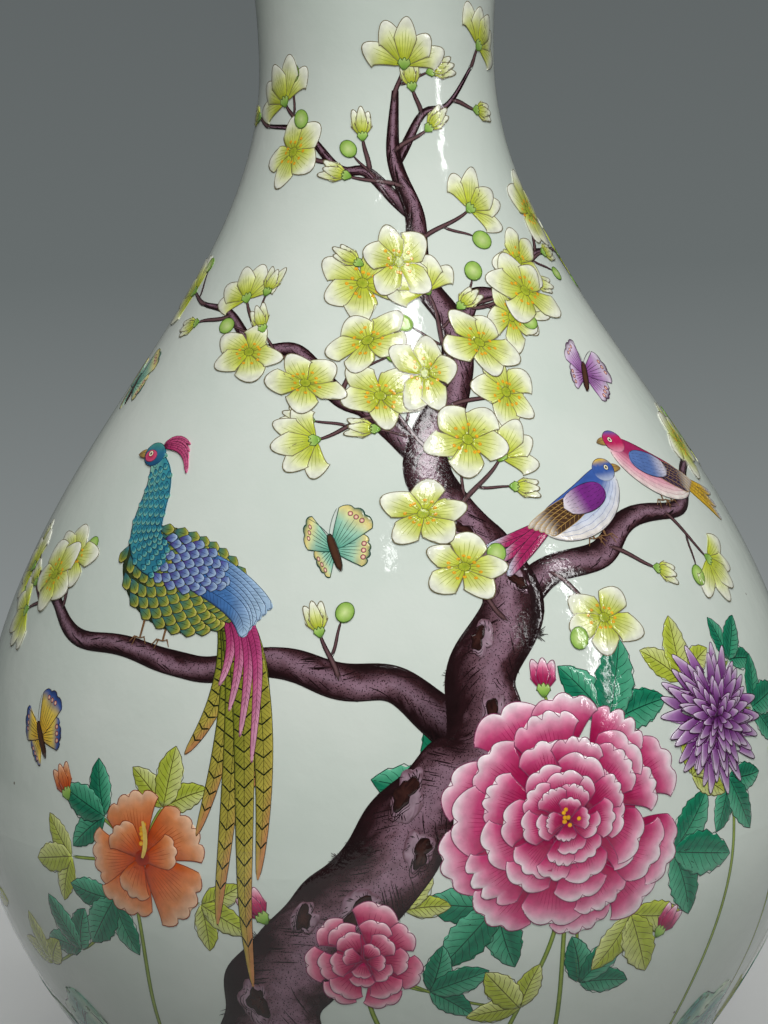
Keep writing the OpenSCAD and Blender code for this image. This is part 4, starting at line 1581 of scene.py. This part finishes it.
def finch(place, coat):
    """A small bird about 36 mm from its beak to its tail."""
    tail = ramp({0: coat["tail"], 0.7: coat["tail"], 1: "#cfd6e4"})
    gown = ramp({0: coat["back"], 0.3: coat["back"], 0.62: coat["breast"], 1: "#f3ece2"})
    hood = ramp({0: coat["breast"], 0.4: coat["face"], 0.72: coat["face"], 1: coat["cap"]})
    quill = ramp({0: coat["quill"], 0.75: coat["quill"], 1: "#e0d6c8"})
    wing = ramp({0: "#f0e9ee", 0.45: coat["wing"], 1: coat["wing"]})
    for k in range(3):
        spine = [(-7, -2.5), (-12, -4 - k), (-17, -5.5 - 1.8 * k), (-22 + k, -6 - 3 * k)]
        feather(place, spine, 2.4, tail, FINCH_LINE)
    legs(place, ((0.5, -7.4), (3.4, -7.2)), 4.5)
    body = blade([(-10, -3.5), (-4, -3.4), (5, -2), (10.4, 6)], 10, 0.5, 0.36)
    birds.fill(place, body, lambda s, v: gown(np.clip((v + 1) / 2 + 0.35 * (0.55 - s), 0, 1)), 10)
    down(place, body, 12, 9, linear(coat["back"]))
    birds.outline(place, body, HAIR, FINCH_LINE)
    birds.next()
    head(place, 9.6, 6.0, 5.6, hood, FINCH_LINE)
    eye(place, 10.5, 6.4, 1.15)
    for k in range(5):
        spine = [(3.5 - 0.6 * k, 1.8 - 0.7 * k), (-2, 1.2 - 0.9 * k), (-7, -1 - 0.8 * k),
                 (-12.5 + k, -3.4 - 0.5 * k)]
        feather(place, spine, 2.2, quill, GOLD)
    shoulder = blade([(-3.5, -0.4), (0, 0.4), (4, 1), (7.4, 2.6)], 5.6, 0.45, 0.4)
    birds.fill(place, shoulder, lambda s, v: wing(s), 6)
    down(place, shoulder, 8, 6, FINCH_LINE)
    birds.outline(place, shoulder, HAIR, FINCH_LINE)
    birds.next()


for azimuth, height, flip, coat in ((32, 152.4, 1, FINCHES[0]), (55, 157.6, -1, FINCHES[1]),
                                    (139, 140, 1, FINCHES[1]), (234, 117.5, -1, FINCHES[0])):
    birds.start("bird")
    finch(on_vase(azimuth, height, 4 * flip, 1.05, flip), coat)
print("Birds:", len(birds.points), "marks")

# %% Butterflies
SPOT = ramp({0: "#fff4c8", 1: "#c2255e"})
INSECT = ramp({0: "#5a3a28", 1: "#2a1a14"})
# Each kind: the wash of its wings from root to rim, and its lines
WINGS = [
    (ramp({0: "#e0a81c", 0.6: "#f0d25a", 0.85: "#3d5fa8", 1: "#26355f"}), linear("#3a2a16")),
    (ramp({0: "#7a2e84", 0.5: "#b98cc0", 0.85: "#e6d9e8", 1: "#43193f"}), linear("#43193f")),
    (ramp({0: "#4fa08a", 0.5: "#9fd0b8", 0.85: "#f0dc8a", 1: "#1f5f5a"}), linear("#123f33")),
]


def butterfly(place, kind):
    """A butterfly about 15 mm across, seen from above and a little to one side."""
    wash, line = WINGS[kind]
    for side in (-1, 1):
        near = place.inner(0, 0, 0, (0.75 + 0.2 * side, 1))
        for tilt, long, wide, lobes in ((-112 * side, 7.5, 7, 4), (-52 * side, 10, 8.6, 3)):
            seat = near.inner(0, 0, tilt)
            form = petal(long, wide, 0.95, 0.15, lobes, 0.07)
            paint_petal(birds, seat, form, (wash, line, line), 5, 14)
            for x in (-1.4, 0, 1.4):
                dot(birds, seat, x, long * 0.8, 1.0, SPOT, line)
    trunk = blade([(0, -5), (0, -1), (0, 3.4)], 1.7, 0.4, 0.3)
    birds.fill(place, trunk, lambda s, v: INSECT(np.abs(v)), 4)
    birds.outline(place, trunk, HAIR, line)
    for side in (-1, 1):
        birds.stroke(place, curve([(0, 3), (side, 6), (side * 3, 8)])(np.linspace(0, 1, 8)), HAIR, line, 0.3)


# Each butterfly: azimuth, height, tilt and kind
BUTTERFLIES = [
    (-52, 108, 35, 0), (49, 177, -30, 1), (-8, 146, 20, 2), (92, 118, -20, 0), (128, 168, 25, 2),
    (262, 150, -15, 1), (208, 140, 30, 0), (286, 176, 20, 2),
]
for azimuth, height, tilt, kind in BUTTERFLIES:
    birds.start("bird")
    butterfly(on_vase(azimuth, height, tilt), kind)
print("With butterflies:", len(birds.points), "marks")

# %% [markdown]
# ## Rocks and grass
# The garden stands on blue-green rocks with grass between them. They lie low on the belly and run all the way
# round the vase, so that the picture has a ground from any side.

# %% Rocks
STONE = ramp({0: "#12262f", 0.3: "#23566a", 0.55: "#4c9088", 0.8: "#93c0a4", 1: "#cfdfc4"})
STONE_LINE, HOLLOW = linear("#14252b"), ramp({0: "#0e1c24", 0.7: "#173a47", 1: "#2f6a6f"})
MOSS = ramp({0: "#5f9a52", 1: "#24583a"})
ground = Painting(1.7)


def rock(azimuth, height, wide, high, seed):
    """A weathered rock, pale on top and dark below, with hollows and lines that follow its edge."""
    rng = np.random.default_rng(seed)
    place = on_vase(azimuth, height, rng.normal(0, 8))
    form = oval(wide, high, wobble=0.3, seed=seed)
    sway = rng.uniform(0, TURN, 2)

    def wash(s, v):
        a = math.pi * v
        folds = 0.16 * np.sin(4 * a + 7 * s + sway[0]) + 0.08 * np.sin(9 * a - 9 * s + sway[1])
        return STONE(np.clip(0.46 - 0.42 * s * np.cos(math.pi * v) + folds, 0, 1))

    ground.fill(place, form, wash, 30)
    for _ in range(26):
        s, v = rng.uniform(0.45, 0.96), rng.uniform(-1, 1)
        run = np.linspace(0, rng.uniform(0.08, 0.24), 10)
        ground.stroke(place, form(s - 0.35 * run, v + run), rng.uniform(0.1, 0.24), STONE_LINE, 0.95)
    ground.rim(place, form, 0.2, STONE_LINE)
    ground.next()
    for _ in range(rng.integers(1, 4)):
        x, y = form(rng.uniform(0.15, 0.55), rng.uniform(-1, 1))
        across, tall = wide * rng.uniform(0.1, 0.2), high * rng.uniform(0.12, 0.26)
        gap = oval(across, tall, x, y, 0.4, rng.integers(1000))
        ground.fill(place, gap, lambda s, v: HOLLOW(s), 12, HOLLOW)
        ground.rim(place, gap, 0.14, STONE_LINE)
    for _ in range(9):
        x, y = form(rng.uniform(0.7, 1.0), 1 - rng.uniform(-0.5, 0.5))
        dot(ground, place, x, y, rng.uniform(0.8, 1.7), MOSS)
    ground.next()


print("Stone from dark to pale:", STONE(np.array([0, 1])).round(3).tolist())


# %% Grass
def grass(azimuth, height, count, long, seed):
    """A tuft of bent blades."""
    rng = np.random.default_rng(seed)
    for k in range(count):
        lean = rng.normal(0, 0.5)
        size = long * rng.uniform(0.6, 1.1)
        form = blade([(0, 0), (lean * size * 0.15, size * 0.6), (lean * size * 0.8, size)], 1.5, 0.3, 0.9)
        place = on_vase(azimuth + rng.normal(0, 1.6), height)
        tone = (EMERALD, LIME)[k % 2]
        ground.mark(place, form, lambda s, v: tone[0](s), 3, HAIR, tone[2], tone[0])


print("Grass in the tones of the leaves")

# %% A bank all round
BANK_LOW, BANK_HIGH = 18, 29


def bank(seed):
    """A ledge of earth and stone all round, under the rocks."""
    wave = np.random.default_rng(seed).uniform(0, TURN, 8)

    @shaped
    def form(s, v):
        crest = sum(np.sin(k * math.pi * v + wave[k % 8]) / k for k in (5, 7, 12, 17, 26))
        return np.stack([180 * v, BANK_LOW + (BANK_HIGH - BANK_LOW) * s * (1 + 0.9 * crest)], -1)

    form.closed, form.has_heart = True, False
    return form


ledge = bank(9)
ground.start("bank")
ground.fill(Belt(), ledge, lambda s, v: STONE(np.clip(0.75 * s + 0.1 * np.sin(60 * v + 5 * s), 0, 1)))
for share in (0.35, 0.6, 0.8):
    for start in np.arange(-1, 1, 0.05):
        run = np.linspace(0, 0.035, 12)
        ground.stroke(Belt(), ledge(share + 2 * run, start + run + share / 9), 0.14, STONE_LINE, 0.9)
for start in np.arange(-1, 1, 0.25):
    run = np.linspace(start, start + 0.25, 60)
    ground.stroke(Belt(), ledge(np.ones(60), run), 0.16, STONE_LINE, 0.0)
print("Bank:", len(ground.points), "marks")

# %% Rocks all round
rng = np.random.default_rng(21)
for k in range(24):
    azimuth = -180 + 15 * k + rng.normal(0, 4)
    ground.start("small rock")
    grass(azimuth + 8, rng.uniform(27, 31), 8, 15, 400 + k)
    rock(azimuth, rng.uniform(23, 28), rng.uniform(16, 26), rng.uniform(11, 17), 300 + k)
# Each large rock: azimuth, height of its middle, width and height
BOULDERS = [
    (-52, 38, 24, 30), (-38, 33, 24, 22), (-9, 35, 28, 26), (8, 31, 24, 20), (33, 34, 32, 26),
    (53, 38, 22, 32), (84, 44, 24, 42), (96, 33, 24, 22), (130, 34, 30, 26), (157, 33, 24, 22),
    (193, 35, 26, 28), (226, 36, 28, 28), (253, 45, 24, 44), (268, 33, 26, 22), (291, 36, 26, 28),
]
for k, row in enumerate(BOULDERS):
    ground.start("large rock")
    grass(row[0] + 14, row[1] - 4, 7, 19, 440 + k)
    rock(*row, 320 + k)
print("Ground:", len(ground.points), "marks")

# %% Stipple the bark
# Dots fall on the limbs at random, more of them where the ground is dark, and lie flat on it.


def stipple_tree():
    """A tree that scatters flat dots over a painted ground."""
    tree, given = new_tree("stipple", {"Ground": "Geometry", "Dots per mm2": "Float", "Radius": "Float",
                                       "Lift": "Float", "Seed": "Int", "Finish": "Material"})
    paint = add(tree, "GeometryNodeInputNamedAttribute", {"data_type": "FLOAT_VECTOR"}, {"Name": "enamel"})
    light = add(tree, "ShaderNodeVectorMath", {"operation": "LENGTH"}, {0: paint.outputs["Attribute"]})
    dark = add(tree, "ShaderNodeMapRange", None,
               {"Value": light.outputs["Value"], 1: 0.05, 2: 0.35, 3: 1.0, 4: 0.45})
    per_metre = add(tree, "ShaderNodeMath", {"operation": "MULTIPLY"},
                    {0: given["Dots per mm2"], 1: 1 / MM**2})
    thick = add(tree, "ShaderNodeMath", {"operation": "MULTIPLY"}, {0: dark, 1: per_metre})
    fall = add(tree, "GeometryNodeDistributePointsOnFaces", {"distribute_method": "RANDOM"},
               {"Mesh": given["Ground"], "Density": thick, "Seed": given["Seed"]})
    lift = add(tree, "ShaderNodeVectorMath", {"operation": "SCALE"},
               {0: fall.outputs["Normal"], "Scale": given["Lift"]})
    raised = add(tree, "GeometryNodeSetPosition", None,
                 {"Geometry": fall.outputs["Points"], "Offset": lift})
    disc = add(tree, "GeometryNodeMeshCircle", {"fill_type": "NGON"},
               {"Vertices": 5, "Radius": given["Radius"]})
    size = add(tree, "FunctionNodeRandomValue", {"data_type": "FLOAT"},
               {"Min": 0.6, "Max": 1.4, "Seed": given["Seed"]})
    dots = add(tree, "GeometryNodeInstanceOnPoints", None,
               {"Points": raised, "Instance": disc, "Rotation": fall.outputs["Rotation"],
                "Scale": size.outputs[1]})
    end_tree(tree, dots, given["Finish"])
    return tree


stipple = stipple_tree()
print("Stipple tree:", len(stipple.nodes), "nodes")

# %% Fire the painting
painted = [fire(name, sheet) for name, sheet in (
    ("ground_enamel", ground), ("leaf_enamel", leaves), ("limb_enamel", limbs), ("bark_enamel", bark_marks),
    ("twig_enamel", twigs), ("blossom_enamel", blossoms), ("flower_enamel", flowers), ("bird_enamel", birds))]
bpy.data.objects.remove(rail_line)
limb_ground = next(p for p in painted if p.name == "limb_enamel")
# Dots this small have one plain colour and no grain of their own
dot_brown, tree = new_finish("brown_overglaze_enamel")
end_finish(tree, {"Base Color": (*BARK_LINE, 1.0), "Roughness": 0.18})
dots = grow("bark_stipple", limb_ground.data.copy(), stipple,
            {"Dots per mm2": 8.0, "Radius": 0.095 * MM, "Lift": LINE, "Seed": 5, "Finish": dot_brown})
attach(dots, "root")
print("Pieces of enamel:", len(painted) + 1, "and", len(dots.data.polygons), "dots of stipple")
